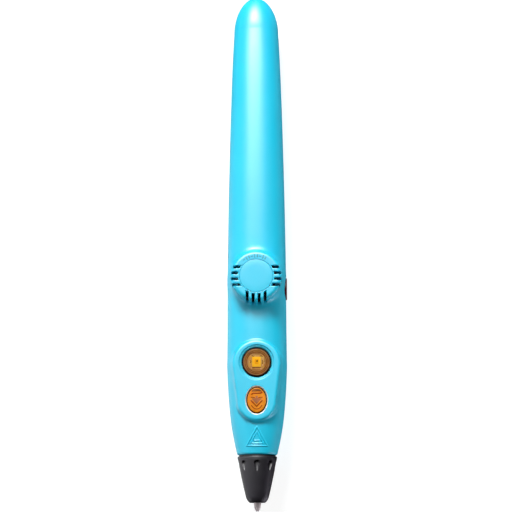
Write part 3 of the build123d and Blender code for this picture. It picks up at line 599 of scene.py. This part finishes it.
def stroke_points(line, half):
    """Counter-clockwise outline of an open line drawn with a pen of the given half width."""
    line = [np.array(point, dtype=float) for point in line]
    left = []
    right = []
    for i, point in enumerate(line):
        before = point - line[i - 1] if i else line[1] - point
        after = line[i + 1] - point if i < len(line) - 1 else before
        before = before / np.linalg.norm(before)
        after = after / np.linalg.norm(after)
        across = np.array((-(before + after)[1], (before + after)[0]))
        across /= np.linalg.norm(across)
        mitre = half / max(abs(across @ np.array((-before[1], before[0]))), SHARPEST_MITRE)
        left.append(point + across * mitre)
        right.append(point - across * mitre)
    return [tuple(point) for point in right] + [tuple(point) for point in reversed(left)]


# ------------------------------------------------------------------ materials
NOISE_RANGE = (0.3, 0.7)


def new_material(name):
    """Node material with its tree, shader and place in the object."""
    material = bpy.data.materials.new(name)
    material.use_nodes = True
    tree = material.node_tree
    shader = tree.nodes["Principled BSDF"]
    place = tree.nodes.new("ShaderNodeTexCoord")
    return material, tree, shader, place.outputs["Object"]


def noise(tree, place, scale, detail=3.0, rough=0.55, stretch=None):
    """Fractal noise, stretched along the axes where asked."""
    source = place
    if stretch:
        mapping = tree.nodes.new("ShaderNodeMapping")
        mapping.inputs["Scale"].default_value = stretch
        tree.links.new(place, mapping.inputs["Vector"])
        source = mapping.outputs["Vector"]
    node = tree.nodes.new("ShaderNodeTexNoise")
    node.inputs["Scale"].default_value = scale
    node.inputs["Detail"].default_value = detail
    node.inputs["Roughness"].default_value = rough
    tree.links.new(source, node.inputs["Vector"])
    return node.outputs["Fac"]


def ramp(tree, factor, low, high):
    """Colour that runs from low to high over the middle of a noise."""
    node = tree.nodes.new("ShaderNodeValToRGB")
    node.color_ramp.elements[0].position = NOISE_RANGE[0]
    node.color_ramp.elements[1].position = NOISE_RANGE[1]
    node.color_ramp.elements[0].color = (*low, 1)
    node.color_ramp.elements[1].color = (*high, 1)
    tree.links.new(factor, node.inputs["Fac"])
    return node.outputs["Color"]


def span(tree, factor, low, high):
    """Number that runs from low to high over the middle of a noise."""
    node = tree.nodes.new("ShaderNodeMapRange")
    node.inputs["From Min"].default_value = NOISE_RANGE[0]
    node.inputs["From Max"].default_value = NOISE_RANGE[1]
    node.inputs["To Min"].default_value = low
    node.inputs["To Max"].default_value = high
    tree.links.new(factor, node.inputs["Value"])
    return node.outputs["Result"]


def bump(tree, shader, height, strength, distance):
    """Fine relief on the shader's normal."""
    node = tree.nodes.new("ShaderNodeBump")
    node.inputs["Strength"].default_value = strength
    node.inputs["Distance"].default_value = distance
    tree.links.new(height, node.inputs["Height"])
    tree.links.new(node.outputs["Normal"], shader.inputs["Normal"])


def plastic(name, low, high, rough, grain=2600.0, depth=0.25, specular=0.5):
    """Moulded plastic: slightly uneven colour, fine spark-eroded grain and uneven gloss."""
    material, tree, shader, place = new_material(name)
    broad = noise(tree, place, 55.0, 2.0)
    tree.links.new(ramp(tree, broad, low, high), shader.inputs["Base Color"])
    smear = noise(tree, place, 240.0, 4.0, 0.6)
    tree.links.new(span(tree, smear, *rough), shader.inputs["Roughness"])
    shader.inputs["Specular IOR Level"].default_value = specular
    bump(tree, shader, noise(tree, place, grain, 2.0), depth, 0.00004)
    return material


def metal(name, low, high, rough=(0.22, 0.34), stretch=(1, 14, 1), grain=500.0):
    """Turned or plated metal with fine tool lines."""
    material, tree, shader, place = new_material(name)
    lines = noise(tree, place, grain, 4.0, 0.6, stretch)
    tree.links.new(ramp(tree, lines, low, high), shader.inputs["Base Color"])
    tree.links.new(span(tree, lines, *rough), shader.inputs["Roughness"])
    shader.inputs["Metallic"].default_value = 1.0
    bump(tree, shader, lines, 0.2, 0.00003)
    return material


def amber(name, low, high, glow, rough=(0.16, 0.24)):
    """Translucent amber plastic: some real subsurface scattering, and a painted glow in its own colour.
    """
    material, tree, shader, place = new_material(name)
    cloud = noise(tree, place, 420.0, 5.0, 0.65)
    tree.links.new(ramp(tree, cloud, low, high), shader.inputs["Base Color"])
    tree.links.new(span(tree, noise(tree, place, 300.0), *rough), shader.inputs["Roughness"])
    shader.inputs["Subsurface Weight"].default_value = 0.35
    shader.inputs["Subsurface Radius"].default_value = (1.0, 0.45, 0.1)
    shader.inputs["Subsurface Scale"].default_value = 0.001
    shader.inputs["Specular IOR Level"].default_value = 0.04
    shader.inputs["Emission Strength"].default_value = glow
    tree.links.new(ramp(tree, cloud, low, high), shader.inputs["Emission Color"])
    bump(tree, shader, noise(tree, place, 1500.0, 2.0), 0.15, 0.00003)
    return material


SATIN = (0.39, 0.45)
case_material = plastic("case_cyan", (0.0005, 0.58, 0.835), (0.0015, 0.61, 0.865), SATIN, specular=0.35)
badge_material = plastic("badge_cyan", (0.001, 0.58, 0.83), (0.003, 0.605, 0.855), SATIN, specular=0.35)
# Darker teal for the vent ticks: painted shade standing in for the shading of small raised marks.
tick_material = plastic("tick_painted_shade", (0.002, 0.34, 0.46), (0.004, 0.38, 0.51), (0.5, 0.6), specular=0.3)
black_material = plastic(
    "cone_black", (0.006, 0.005, 0.009), (0.011, 0.009, 0.016), (0.42, 0.52), 2200.0, 0.45, 0.35
)
heat_material = plastic(
    "collar_black", (0.004, 0.004, 0.005), (0.007, 0.006, 0.008), (0.5, 0.6), specular=0.2
)
# Near-black matt plastic for rings down in the button gaps: painted shade.
gap_shade_material = plastic(
    "painted_gap_shade", (0.001, 0.001, 0.001), (0.002, 0.002, 0.002), (0.7, 0.8), specular=0.05
)
ceramic_material = plastic(
    "nozzle_ceramic", (0.70, 0.60, 0.62), (0.80, 0.70, 0.72), (0.28, 0.4), 1800.0, 0.3
)
# The last number of each amber is its painted glow: emitted light, though the buttons are no lamps.
amber_brown = amber("amber_brown", (0.28, 0.125, 0.035), (0.42, 0.185, 0.06), 0.03)
amber_gold = amber("amber_gold", (0.46, 0.22, 0.05), (0.60, 0.30, 0.08), 0.05)
amber_orange = amber("amber_orange", (0.70, 0.215, 0.015), (0.86, 0.31, 0.03), 0.08)
amber_bright = amber("amber_bright", (0.84, 0.35, 0.01), (0.94, 0.46, 0.02), 0.16)
amber_core = amber("amber_core", (0.76, 0.27, 0.005), (0.88, 0.36, 0.01), 0.12)
amber_rust = amber("amber_rust", (0.13, 0.035, 0.006), (0.20, 0.055, 0.01), 0.01)
amber_burnt = amber("amber_burnt", (0.30, 0.035, 0.002), (0.40, 0.055, 0.004), 0.02)
amber_rose = amber("amber_rose", (0.38, 0.125, 0.045), (0.46, 0.155, 0.06), 0.03)
amber_smoke = amber("amber_smoke", (0.10, 0.055, 0.035), (0.15, 0.085, 0.055), 0.01)
amber_pink = amber("amber_pink", (0.58, 0.30, 0.18), (0.68, 0.38, 0.24), 0.05)
maroon_material = plastic(
    "button_maroon", (0.05, 0.0004, 0.003), (0.14, 0.001, 0.007), (0.25, 0.35), 1500.0, 0.2, 0.1
)
# Near-white and pale cyan: painted highlights on the chamfers round the button holes.
painted_highlight_white = plastic("painted_highlight_white", (0.80, 0.95, 0.98), (0.90, 1.0, 1.0), (0.25, 0.35))
painted_highlight_cyan = plastic("painted_highlight_cyan", (0.10, 0.66, 0.80), (0.16, 0.74, 0.86), (0.25, 0.35))
steel_material = metal("turned_steel", (0.50, 0.50, 0.52), (0.66, 0.66, 0.68))
brass_material = metal("turned_brass", (0.68, 0.46, 0.18), (0.80, 0.58, 0.26))
motor_material = metal("motor_plate", (0.58, 0.59, 0.60), (0.70, 0.71, 0.72), (0.28, 0.4))
board_material = plastic("solder_mask", (0.01, 0.14, 0.05), (0.015, 0.20, 0.07), (0.25, 0.35), 900.0)
chip_material = plastic("chip_package", (0.015, 0.015, 0.016), (0.03, 0.03, 0.03), (0.5, 0.6))
chassis_material = plastic("filled_plastic", (0.36, 0.37, 0.39), (0.44, 0.45, 0.47), (0.5, 0.6))
tube_material = plastic("guide_tube", (0.72, 0.72, 0.70), (0.82, 0.82, 0.80), (0.3, 0.4))
element_material = plastic("fired_ceramic", (0.70, 0.68, 0.62), (0.80, 0.78, 0.72), (0.6, 0.7))
tape_material = plastic("amber_tape", (0.50, 0.22, 0.03), (0.62, 0.30, 0.05), (0.2, 0.3))
cell_material = plastic("cell_wrap", (0.03, 0.10, 0.36), (0.04, 0.13, 0.44), (0.25, 0.35))
red_material = plastic("lead_red", (0.42, 0.02, 0.015), (0.50, 0.03, 0.02), (0.4, 0.5))
white_material = plastic("lead_white", (0.66, 0.66, 0.62), (0.76, 0.76, 0.72), (0.4, 0.5))

SLOT_MATERIALS = {
    "case_plastic": case_material,
    "cone_plastic": black_material,
    "nozzle_ceramic": ceramic_material,
    "amber_plastic": amber_brown,
    "side_amber": maroon_material,
    "heat_plastic": heat_material,
    "brass": brass_material,
    "element_ceramic": element_material,
    "sleeve_tape": tape_material,
    "sensor_glass": chip_material,
    "guide_tube": tube_material,
    "circuit_board": board_material,
    "chip_black": chip_material,
    "led_lens": amber_bright,
    "switch_black": chip_material,
    "chassis_plastic": chassis_material,
    "steel": steel_material,
    "motor_metal": motor_material,
    "motor_cap": chip_material,
    "fan_black": heat_material,
    "cell_wrap": cell_material,
    "lead_red": red_material,
    "lead_white": white_material,
}
for part in frame["record"]["subparts"]:
    node = frame["nodes"][part["node"]]
    node.data.materials.clear()
    node.data.materials.append(SLOT_MATERIALS[part["material_slot"]])


def place(obj, body, slot, *nodes):
    """Rides on a body and stands for CAD nodes, which it hides; the slot argument is not used."""
    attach(obj, body)
    if nodes:
        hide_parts(*nodes)
    return obj


# ------------------------------------------------------------------ case shells
FRONT_GRID = (
    ladder(-11.4, (-9.6, 0.3), (9.6, 0.2), (11.4, 0.3)),
    ladder(-75.6, (-23, 0.22), (-2.0, 0.17), (80, 0.9), (95.4, 0.35)),
    ladder(10.5, (18.4, 0.4), (28.0, 0.2)),
)
points, quads, normals = surface_net(front_shell_distance, *FRONT_GRID)
front_skin = make_object("front_shell_skin", points, quads, case_material, normals)
place(front_skin, "case", "case_plastic", "front_shell")

BACK_GRID = (
    ladder(-11.4, (11.4, 0.3)),
    ladder(-75.6, (-57, 0.5), (-47, 0.25), (60, 0.9), (69, 0.25), (80, 0.6), (95.4, 0.35)),
    ladder(-0.4, (11.2, 0.3)),
)
points, quads, normals = surface_net(back_shell_distance, *BACK_GRID)
back_skin = make_object("back_shell_skin", points, quads, case_material, normals)
place(back_skin, "case", "case_plastic", "back_shell")

# ------------------------------------------------------------------ vent badge and its ticks
badge_edge = BADGE_RADIUS - 0.14
badge = lathe(
    "vent_badge_disc",
    [(-2 * BADGE_HALF, 0), (-2 * BADGE_HALF, BADGE_RADIUS)]
    + arc((-0.16, badge_edge), 0.14, 90, 0)
    + [(-0.01, 0.6 * BADGE_RADIUS), (0, 0)],
    badge_material,
    (0, HUMP_Y, HUMP_TOP),
    "z",
    120,
)
place(badge, "case", "case_plastic", "vent_badge")

# Ticks round the vent badge, coloured darker as painted shade.
TICK_COUNT = 9
TICK_SWEEP = (62, 126)
TICK_RADIUS = 7.2
TICK_SHAPES = ((0.22, 0.6), (0.2, 0.75), (0.42, 0.2))
for i in range(TICK_COUNT):
    angle = math.radians(TICK_SWEEP[0] + (TICK_SWEEP[1] - TICK_SWEEP[0]) * i / (TICK_COUNT - 1))
    half_across, half_out = TICK_SHAPES[i % len(TICK_SHAPES)]
    outline = []
    for x, y in rounded_box_points(TICK_RADIUS, 0, half_out, half_across, 0.12, 3):
        turned_x = x * math.cos(angle) - y * math.sin(angle)
        turned_y = x * math.sin(angle) + y * math.cos(angle)
        outline.append((turned_x, HUMP_Y + turned_y))
    tick = prism("vent_tick_%d" % (i + 1), outline, HUMP_TOP - 0.35, HUMP_TOP, tick_material, 0.03)
    place(tick, "case", "case_plastic")

# ------------------------------------------------------------------ painted highlights on the button chamfers and painted shade in the button gaps
def oval_ring(name, y, radii, section_line, material, segments=120):
    """Closed ring on the case that follows an oval outline; the section is (offset, z) points."""
    points = []
    for i in range(segments):
        angle = 2 * math.pi * i / segments
        for offset, z in section_line:
            x = (radii[0] + offset) * math.cos(angle)
            points.append((x, y + (radii[1] + offset) * math.sin(angle), z))
    ring = make_object(name, points, ring_faces(segments, len(section_line)), material)
    tidy_mesh(ring)
    return place(ring, "case", "case_plastic")


MAIN_RADII = (MAIN_RADIUS, MAIN_RADIUS)
# Chamfer rings round the button holes, coloured pale as their painted highlights.
# Sections as (distance outside the button, height over the pad).
SMALL_HIGHLIGHT_RING = ((0.4, -0.5), (0.44, -0.36), (0.8, 0.01), (0.86, -0.1), (0.5, -0.6))
MAIN_HIGHLIGHT_RING = ((0.42, -0.85), (0.46, -0.7), (0.9, -0.3), (0.98, -0.4), (0.55, -0.95))
small_section = [(offset, PAD_TOP + height) for offset, height in SMALL_HIGHLIGHT_RING]
main_section = [(offset, PAD_TOP + height) for offset, height in MAIN_HIGHLIGHT_RING]
oval_ring("small_button_highlight_ring", SMALL_Y, SMALL_RADII, small_section, painted_highlight_white)
oval_ring("main_button_highlight_ring", MAIN_Y, MAIN_RADII, main_section, painted_highlight_cyan)

# Near-black rings down in the gaps round both buttons: painted shade where the gaps fall into shadow.
GAP_SHADE_SECTION = [(0.04, 21.6), (0.45, 21.6), (0.45, 21.92), (0.04, 21.92)]
oval_ring("main_button_gap_shade", MAIN_Y, MAIN_RADII, GAP_SHADE_SECTION, gap_shade_material)
oval_ring("small_button_gap_shade", SMALL_Y, SMALL_RADII, GAP_SHADE_SECTION, gap_shade_material)

# ------------------------------------------------------------------ main button
FLANGE = [z - BUTTON_TOP for z in BUTTON_FLANGE]
RING_GROOVES = (4.3, 4.02, 3.74)
rim = MAIN_RADIUS - 0.3
outline = [(FLANGE[0], 0), (FLANGE[0], main_flange), (FLANGE[1], main_flange), (FLANGE[1], MAIN_RADIUS)]
outline += [(-0.3, MAIN_RADIUS)] + arc((-0.3, rim), 0.3, 90, 0)[1:]
for radius in RING_GROOVES:
    outline += [(0, radius + 0.07), (-0.07, radius), (0, radius - 0.07)]
outline += [(-0.05, 3.3), (-0.07, 0)]
main_cap = lathe("main_button_cap", outline, amber_brown, (0, MAIN_Y, BUTTON_TOP), "z", 120, 25)
place(main_cap, "main_button_body", "amber_plastic", "main_button")
for side, name in ((-1, "left"), (1, "right")):
    foot = lathe(
        "main_button_foot_" + name,
        [(-4.05, 0), (-4.05, 0.7), (-3.0, 0.75), (-3.0, 0)],
        amber_brown,
        (side * 3.9, MAIN_Y, BUTTON_TOP),
        "z",
        32,
    )
    place(foot, "main_button_body", "amber_plastic")


def main_mark(name, outline, level, material, bevel=0.03):
    """Thin inlay on the main button, its top at the given level above the cap."""
    moved = [(x, MAIN_Y + y) for x, y in outline]
    top = BUTTON_TOP + level
    piece = prism("main_button_" + name, moved, BUTTON_TOP - 0.25, top, material, bevel, 2)
    return place(piece, "main_button_body", "amber_plastic")


outline = [(-0.7, rim), (-0.7, MAIN_RADIUS + 0.01)] + arc((-0.3, rim), 0.31, 90, 12, 6) + [(-0.2, rim)]
ring = lathe("main_button_edge", outline, amber_smoke, (0, MAIN_Y, BUTTON_TOP), "z", 96)
place(ring, "main_button_body", "amber_plastic")
for name, radius in (("ring_outer", 4.12), ("ring_inner", 3.6)):
    low, high = radius - 0.09, radius + 0.09
    outline = [(-0.08, low), (0.005, low), (0.005, high), (-0.08, high)]
    ring = lathe("main_button_" + name, outline, amber_rust, (0, MAIN_Y, BUTTON_TOP), "z", 96)
    place(ring, "main_button_body", "amber_plastic")
main_mark("zone", rounded_box_points(-0.1, 0.05, 2.95, 2.75, 1.0), -0.05, amber_gold, 0.15)
main_mark("window", rounded_box_points(-0.05, 0.1, 1.5, 1.8, 0.2), -0.01, amber_bright)
main_mark("window_core", rounded_box_points(0.05, 0.15, 0.75, 0.95, 0.35), 0.0, amber_core)
main_mark("window_dot", ellipse_points(0.2, 0.35, 0.3, 0.34, 24), 0.01, amber_rust)
MAIN_LINES = (
    ("low", 0.14, ((-1.75, -2.1), (-1.0, -1.95), (0.9, -1.95), (1.75, -2.2))),
    ("top_left", 0.13, ((-1.75, 2.5), (-1.2, 2.0), (-0.75, 2.3))),
    ("top_right", 0.13, ((1.1, 2.1), (1.75, 2.25), (2.1, 1.85))),
    ("left", 0.12, ((-2.3, 0.55), (-1.95, 0.2), (-2.25, -0.35))),
    ("right", 0.12, ((2.0, 0.7), (2.25, 0.1), (2.05, -0.7))),
)
for name, half, line in MAIN_LINES:
    main_mark("line_" + name, stroke_points(line, half), 0, amber_rust)
# Pale pink spots near the lower rim of the main button: painted glints.
MAIN_GLINTS = ((-1.75, -2.15, 0.2), (1.55, -2.4, 0.24), (2.1, -1.1, 0.16), (2.75, -0.35, 0.16))
for i, (x, y, size) in enumerate(MAIN_GLINTS):
    main_mark("spot_%d" % (i + 1), ellipse_points(x, y, size, size, 20), 0.01, amber_pink)

# ------------------------------------------------------------------ small button
small_outline = ellipse_points(0, SMALL_Y, *SMALL_RADII, 96)
small_cap = prism("small_button_cap", small_outline, BUTTON_TOP - 2.5, BUTTON_TOP, amber_orange, 0.3, 5)
place(small_cap, "small_button_body", "amber_plastic", "small_button")
flange_outline = ellipse_points(0, SMALL_Y, small_flange_x, small_flange_y, 96)
flange = prism("small_button_flange", flange_outline, *BUTTON_FLANGE, amber_orange, 0.08)
place(flange, "small_button_body", "amber_plastic")
foot_outline = [(18.4, 0), (18.4, 0.75), (19.6, 0.8), (19.6, 0)]
foot = lathe("small_button_foot", foot_outline, amber_orange, (0, SMALL_Y, 0), "z", 32)
place(foot, "small_button_body", "amber_plastic")


def small_mark(name, outline, level, material):
    """Thin inlay on the small button."""
    moved = [(x, SMALL_Y + y) for x, y in outline]
    piece = prism("small_button_" + name, moved, BUTTON_TOP - 0.2, BUTTON_TOP + level, material, 0.03, 2)
    return place(piece, "small_button_body", "amber_plastic")


top_strip = [(-1.9, 3.0), (1.9, 3.0)] + [
    (3.0 * math.cos(math.radians(a)), 4.05 * math.sin(math.radians(a))) for a in range(51, 130, 6)
]
small_mark("shade", top_strip, 0.0, amber_smoke)
bar_line = [(-1.9, 1.9), (-1.3, 2.4), (1.3, 2.4), (2.0, 2.75)]
small_mark("bar", stroke_points(bar_line, 0.24), 0.01, amber_burnt)
arrow = [(-0.4, 1.45), (-0.4, 0.7), (-1.85, 0.6), (0, -1.6), (1.85, 0.6), (0.4, 0.7), (0.4, 1.45)]
small_mark("arrow", arrow, 0.01, amber_rose)
edge_line = [(-2.05, -0.1), (0, -2.25), (2.05, -0.1)]
small_mark("arrow_edge", stroke_points(edge_line, 0.24), 0.02, amber_burnt)
small_mark("arrow_line", stroke_points([(-2.1, 0.98), (-0.6, 0.88)], 0.15), 0.02, amber_burnt)
small_mark("arrow_line_right", stroke_points([(0.6, 0.88), (2.1, 0.98)], 0.15), 0.02, amber_burnt)
lower_curve = [
    (2.35 * math.sin(math.radians(a)), 0.15 - 3.35 * math.cos(math.radians(a)))
    for a in range(-54, 55, 9)
]
small_mark("lower_line", stroke_points(lower_curve, 0.15), 0.01, amber_burnt)

# ------------------------------------------------------------------ side button
flange_radius = side_flange_half * 0.48
rim_radius = 0.45
outline = [(7.55, 0), (7.55, 0.7), (SIDE_FLANGE[0], 0.7)]
outline += [(SIDE_FLANGE[0], flange_radius), (SIDE_FLANGE[1], flange_radius)]
outline += [(SIDE_FLANGE[1], SIDE_RADIUS), (SIDE_FACE - rim_radius, SIDE_RADIUS)]
outline += arc((SIDE_FACE - rim_radius, SIDE_RADIUS - rim_radius), rim_radius, 90, 0)[1:]
outline += [(SIDE_FACE, 3.0), (SIDE_FACE - 0.12, 2.8), (SIDE_FACE - 0.12, 0)]
side_cap = lathe("side_button_cap", outline, maroon_material, (0, SIDE_Y, SIDE_Z), "x", 96)
place(side_cap, "side_button_body", "side_amber", "side_button")

# ------------------------------------------------------------------ nozzle cone, nozzle and inlet
cone_low, cone_high = (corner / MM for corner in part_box("nozzle_cone"))
CONE_END = cone_low.y
CONE_START = cone_high.y
GROOVE_TOP = -77.1
GROOVE_LENGTH = 4.0
GROOVE_HALF = 1.1
GROOVE_DEPTH = 0.85
GROOVES = 8


def cone_outline():
    """Outer line of the cone from its back rim to its front opening, as (y, radius)."""
    line = [(CONE_START, 5.7), (CONE_START, 6.85)]
    line += arc((CONE_START - 0.3, 6.8), 0.3, 0, 90, 4)[1:]
    line += [(CONE_START - 0.95, 7.02), (CONE_START - 1.05, 6.93), (CONE_START - 1.15, 6.94)]
    start = CONE_START - 1.15
    bends = ((start, 6.94), (-79, 6.50), (-83, 5.70), (-87, 4.82), (-89.6, 4.2))
    for (y1, r1), (y2, r2) in zip(bends, bends[1:]):
        steps = max(2, round((y1 - y2) / 0.16))
        line += [(y1 + (y2 - y1) * i / steps, r1 + (r2 - r1) * i / steps) for i in range(1, steps + 1)]
    line += [(-90.3, 4.0), (-90.9, 3.72), (-91.4, 3.36), (-91.75, 3.02)]
    return line + [(CONE_END, 2.78), (CONE_END, 1.45)]


def groove_depth(y, radius, angle):
    """How deep the air groove is cut at a place on the cone."""
    spacing = 2 * math.pi / GROOVES
    offset = (angle - math.pi / 2 + spacing / 2) % spacing - spacing / 2
    down = GROOVE_TOP - y
    if down < 0 or down > GROOVE_LENGTH:
        return 0.0
    if down < GROOVE_HALF:
        half = math.sqrt(GROOVE_HALF**2 - (GROOVE_HALF - down) ** 2)
    else:
        half = GROOVE_HALF * (1 - (down - GROOVE_HALF) / (GROOVE_LENGTH - GROOVE_HALF)) ** 0.8
    across = abs(offset) * radius / max(half, 0.02)
    if across >= 1:
        return 0.0
    fade = 1 - (down / GROOVE_LENGTH) ** 2
    return GROOVE_DEPTH * fade * (1 - across**4) ** 0.7


outer = cone_outline()
inner = [(-90.9, 1.45), (-90.4, 2.5), (-87.0, 3.6), (-79.4, 5.3), (-78.9, 5.6), (CONE_START, 5.6)]
profile = outer + inner
SEGMENTS = 320
points = []
for i in range(SEGMENTS):
    angle = 2 * math.pi * i / SEGMENTS
    for k, (y, radius) in enumerate(profile):
        if k < len(outer):
            radius -= groove_depth(y, radius, angle)
        points.append((radius * math.cos(angle), y, AXIS_Z + radius * math.sin(angle)))
cone = make_object("nozzle_cone_shell", points, ring_faces(SEGMENTS, len(profile)), black_material)
tidy_mesh(cone, 32)
place(cone, "case", "cone_plastic", "nozzle_cone")

tip_low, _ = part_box("nozzle_tip")
tip_end = tip_low.y / MM
outline = [(-88.0, 1.05), (-88.0, 2.2), (-90.3, 2.2), (-90.6, 1.29), (-92.4, 1.28), (-93.9, 1.1)]
outline += [(-94.25, 0.98), (-94.5, 0.8), (-94.6, 0.68), (tip_end + 0.1, 0.6), (tip_end, 0.5)]
outline += [(tip_end, 0.35), (-91.4, 0.35), (-90.5, 1.05)]
nozzle = lathe("nozzle_tip_tube", outline, ceramic_material, (0, 0, AXIS_Z), "y", 72)
place(nozzle, "case", "nozzle_ceramic", "nozzle_tip")

inlet_low, inlet_high = (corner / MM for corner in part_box("inlet_ring"))
outline = [(inlet_low.y, 1.35), (inlet_low.y, 3.0), (92.9, 3.0), (92.9, 1.9), (inlet_high.y - 0.3, 1.9)]
outline += arc((inlet_high.y - 0.3, 1.6), 0.3, 90, 0, 6)[1:]
outline += arc((inlet_high.y - 0.25, 1.6), 0.25, 0, -90, 4)[1:]
inlet = lathe("inlet_ring_turned", outline, case_material, (0, 0, AXIS_Z), "y", 72)
place(inlet, "case", "case_plastic", "inlet_ring")

# ------------------------------------------------------------------ camera, light and floor
TARGET = Vector((0, 0, 0.011))
CAMERA_DISTANCE = 0.7
tilt = math.radians(9.7)
turn = math.radians(1.0)
roll = math.radians(0.16)
back = Vector((math.sin(turn) * math.cos(tilt), -math.sin(tilt), math.cos(turn) * math.cos(tilt)))
back.normalize()
camera_data = bpy.data.cameras.new("camera")
camera_data.sensor_width = 36
camera_data.lens = 134.43
camera_data.shift_x = -0.0016
camera_data.shift_y = -0.0122
camera_data.clip_start = 0.01
camera = bpy.data.objects.new("camera", camera_data)
level = (-back).cross(Vector((0, 1, 0))).normalized()
above = level.cross(-back)
right = level * math.cos(roll) - above * math.sin(roll)
up = right.cross(-back)
rotation = Matrix((right, up, back)).transposed().to_4x4()
camera.matrix_world = Matrix.Translation(TARGET + back * CAMERA_DISTANCE) @ rotation
bpy.context.scene.collection.objects.link(camera)
bpy.context.scene.camera = camera

FLOOR_HALF = 3
FLOOR_Z = -0.0002
floor_mesh = bpy.data.meshes.new("floor")
corners = [(x * FLOOR_HALF, y * FLOOR_HALF, FLOOR_Z) for x, y in ((-1, -1), (1, -1), (1, 1), (-1, 1))]
floor_mesh.from_pydata(corners, [], [(0, 1, 2, 3)])
floor = bpy.data.objects.new("floor", floor_mesh)
bpy.context.scene.collection.objects.link(floor)
floor_material, floor_tree, floor_shader, floor_place = new_material("floor")
floor_tree.links.new(
    ramp(floor_tree, noise(floor_tree, floor_place, 3.0), (0.30, 0.30, 0.30), (0.33, 0.33, 0.33)),
    floor_shader.inputs["Base Color"],
)
floor_shader.inputs["Roughness"].default_value = 0.9
floor_shader.inputs["Specular IOR Level"].default_value = 0.0
floor_shader.inputs["Emission Color"].default_value = (1, 1, 1, 1)
floor_shader.inputs["Emission Strength"].default_value = 0.86
floor.visible_glossy = False
floor.visible_shadow = False
floor_mesh.materials.append(floor_material)


def area_light(name, position, aim, size, energy, color=(1, 1, 1)):
    """Rectangular soft box aimed at a point."""
    data = bpy.data.lights.new(name, "AREA")
    data.shape = "RECTANGLE"
    data.size, data.size_y = size
    data.energy = energy
    data.color = color
    lamp = bpy.data.objects.new(name, data)
    lamp.location = position
    direction = Vector(aim) - Vector(position)
    lamp.rotation_euler = direction.to_track_quat("-Z", "Y").to_euler()
    bpy.context.scene.collection.objects.link(lamp)
    return lamp


def glint_light(name, position, size, energy, color):
    """A card seen only in reflections."""
    lamp = area_light(name, position, (0, -0.012, 0.02), size, energy, color)
    lamp.visible_diffuse = False
    lamp.visible_camera = False
    return lamp


area_light("key", (-0.22, 0.78, 0.73), (0, 0, 0.01), (0.3, 0.3), 14.0)
fill = area_light("fill_right", (0.7, 0.2, 0.75), (0, 0, 0.01), (0.5, 0.5), 1.6)
fill.visible_glossy = False
WHITE = (1, 1, 1)
GLINTS = (
    ("sheen_top", (-0.24, 1.5, 1.9), (0.8, 0.6), 270.0, WHITE),
    ("sheen_left", (-0.80, 0.0, 0.45), (0.6, 1.0), 7.0, WHITE),
    ("edge_left", (-0.60, 0.0, -0.25), (0.4, 1.0), 2.2, WHITE),
    ("glint_left", (-0.50, -0.42, -0.20), (0.25, 0.25), 0.9, (0.93, 0.92, 1.0)),
    ("glint_right", (0.50, -0.42, -0.20), (0.25, 0.25), 2.0, (0.92, 0.86, 1.0)),
)
for glint in GLINTS:
    glint_light(*glint)
world = bpy.data.worlds.new("studio")
world.use_nodes = True
world.node_tree.nodes["Background"].inputs["Color"].default_value = (1, 1, 1, 1)
world.node_tree.nodes["Background"].inputs["Strength"].default_value = 0.18
world.cycles_visibility.glossy = False
bpy.context.scene.world = world
bpy.context.scene.view_settings.view_transform = "Standard"
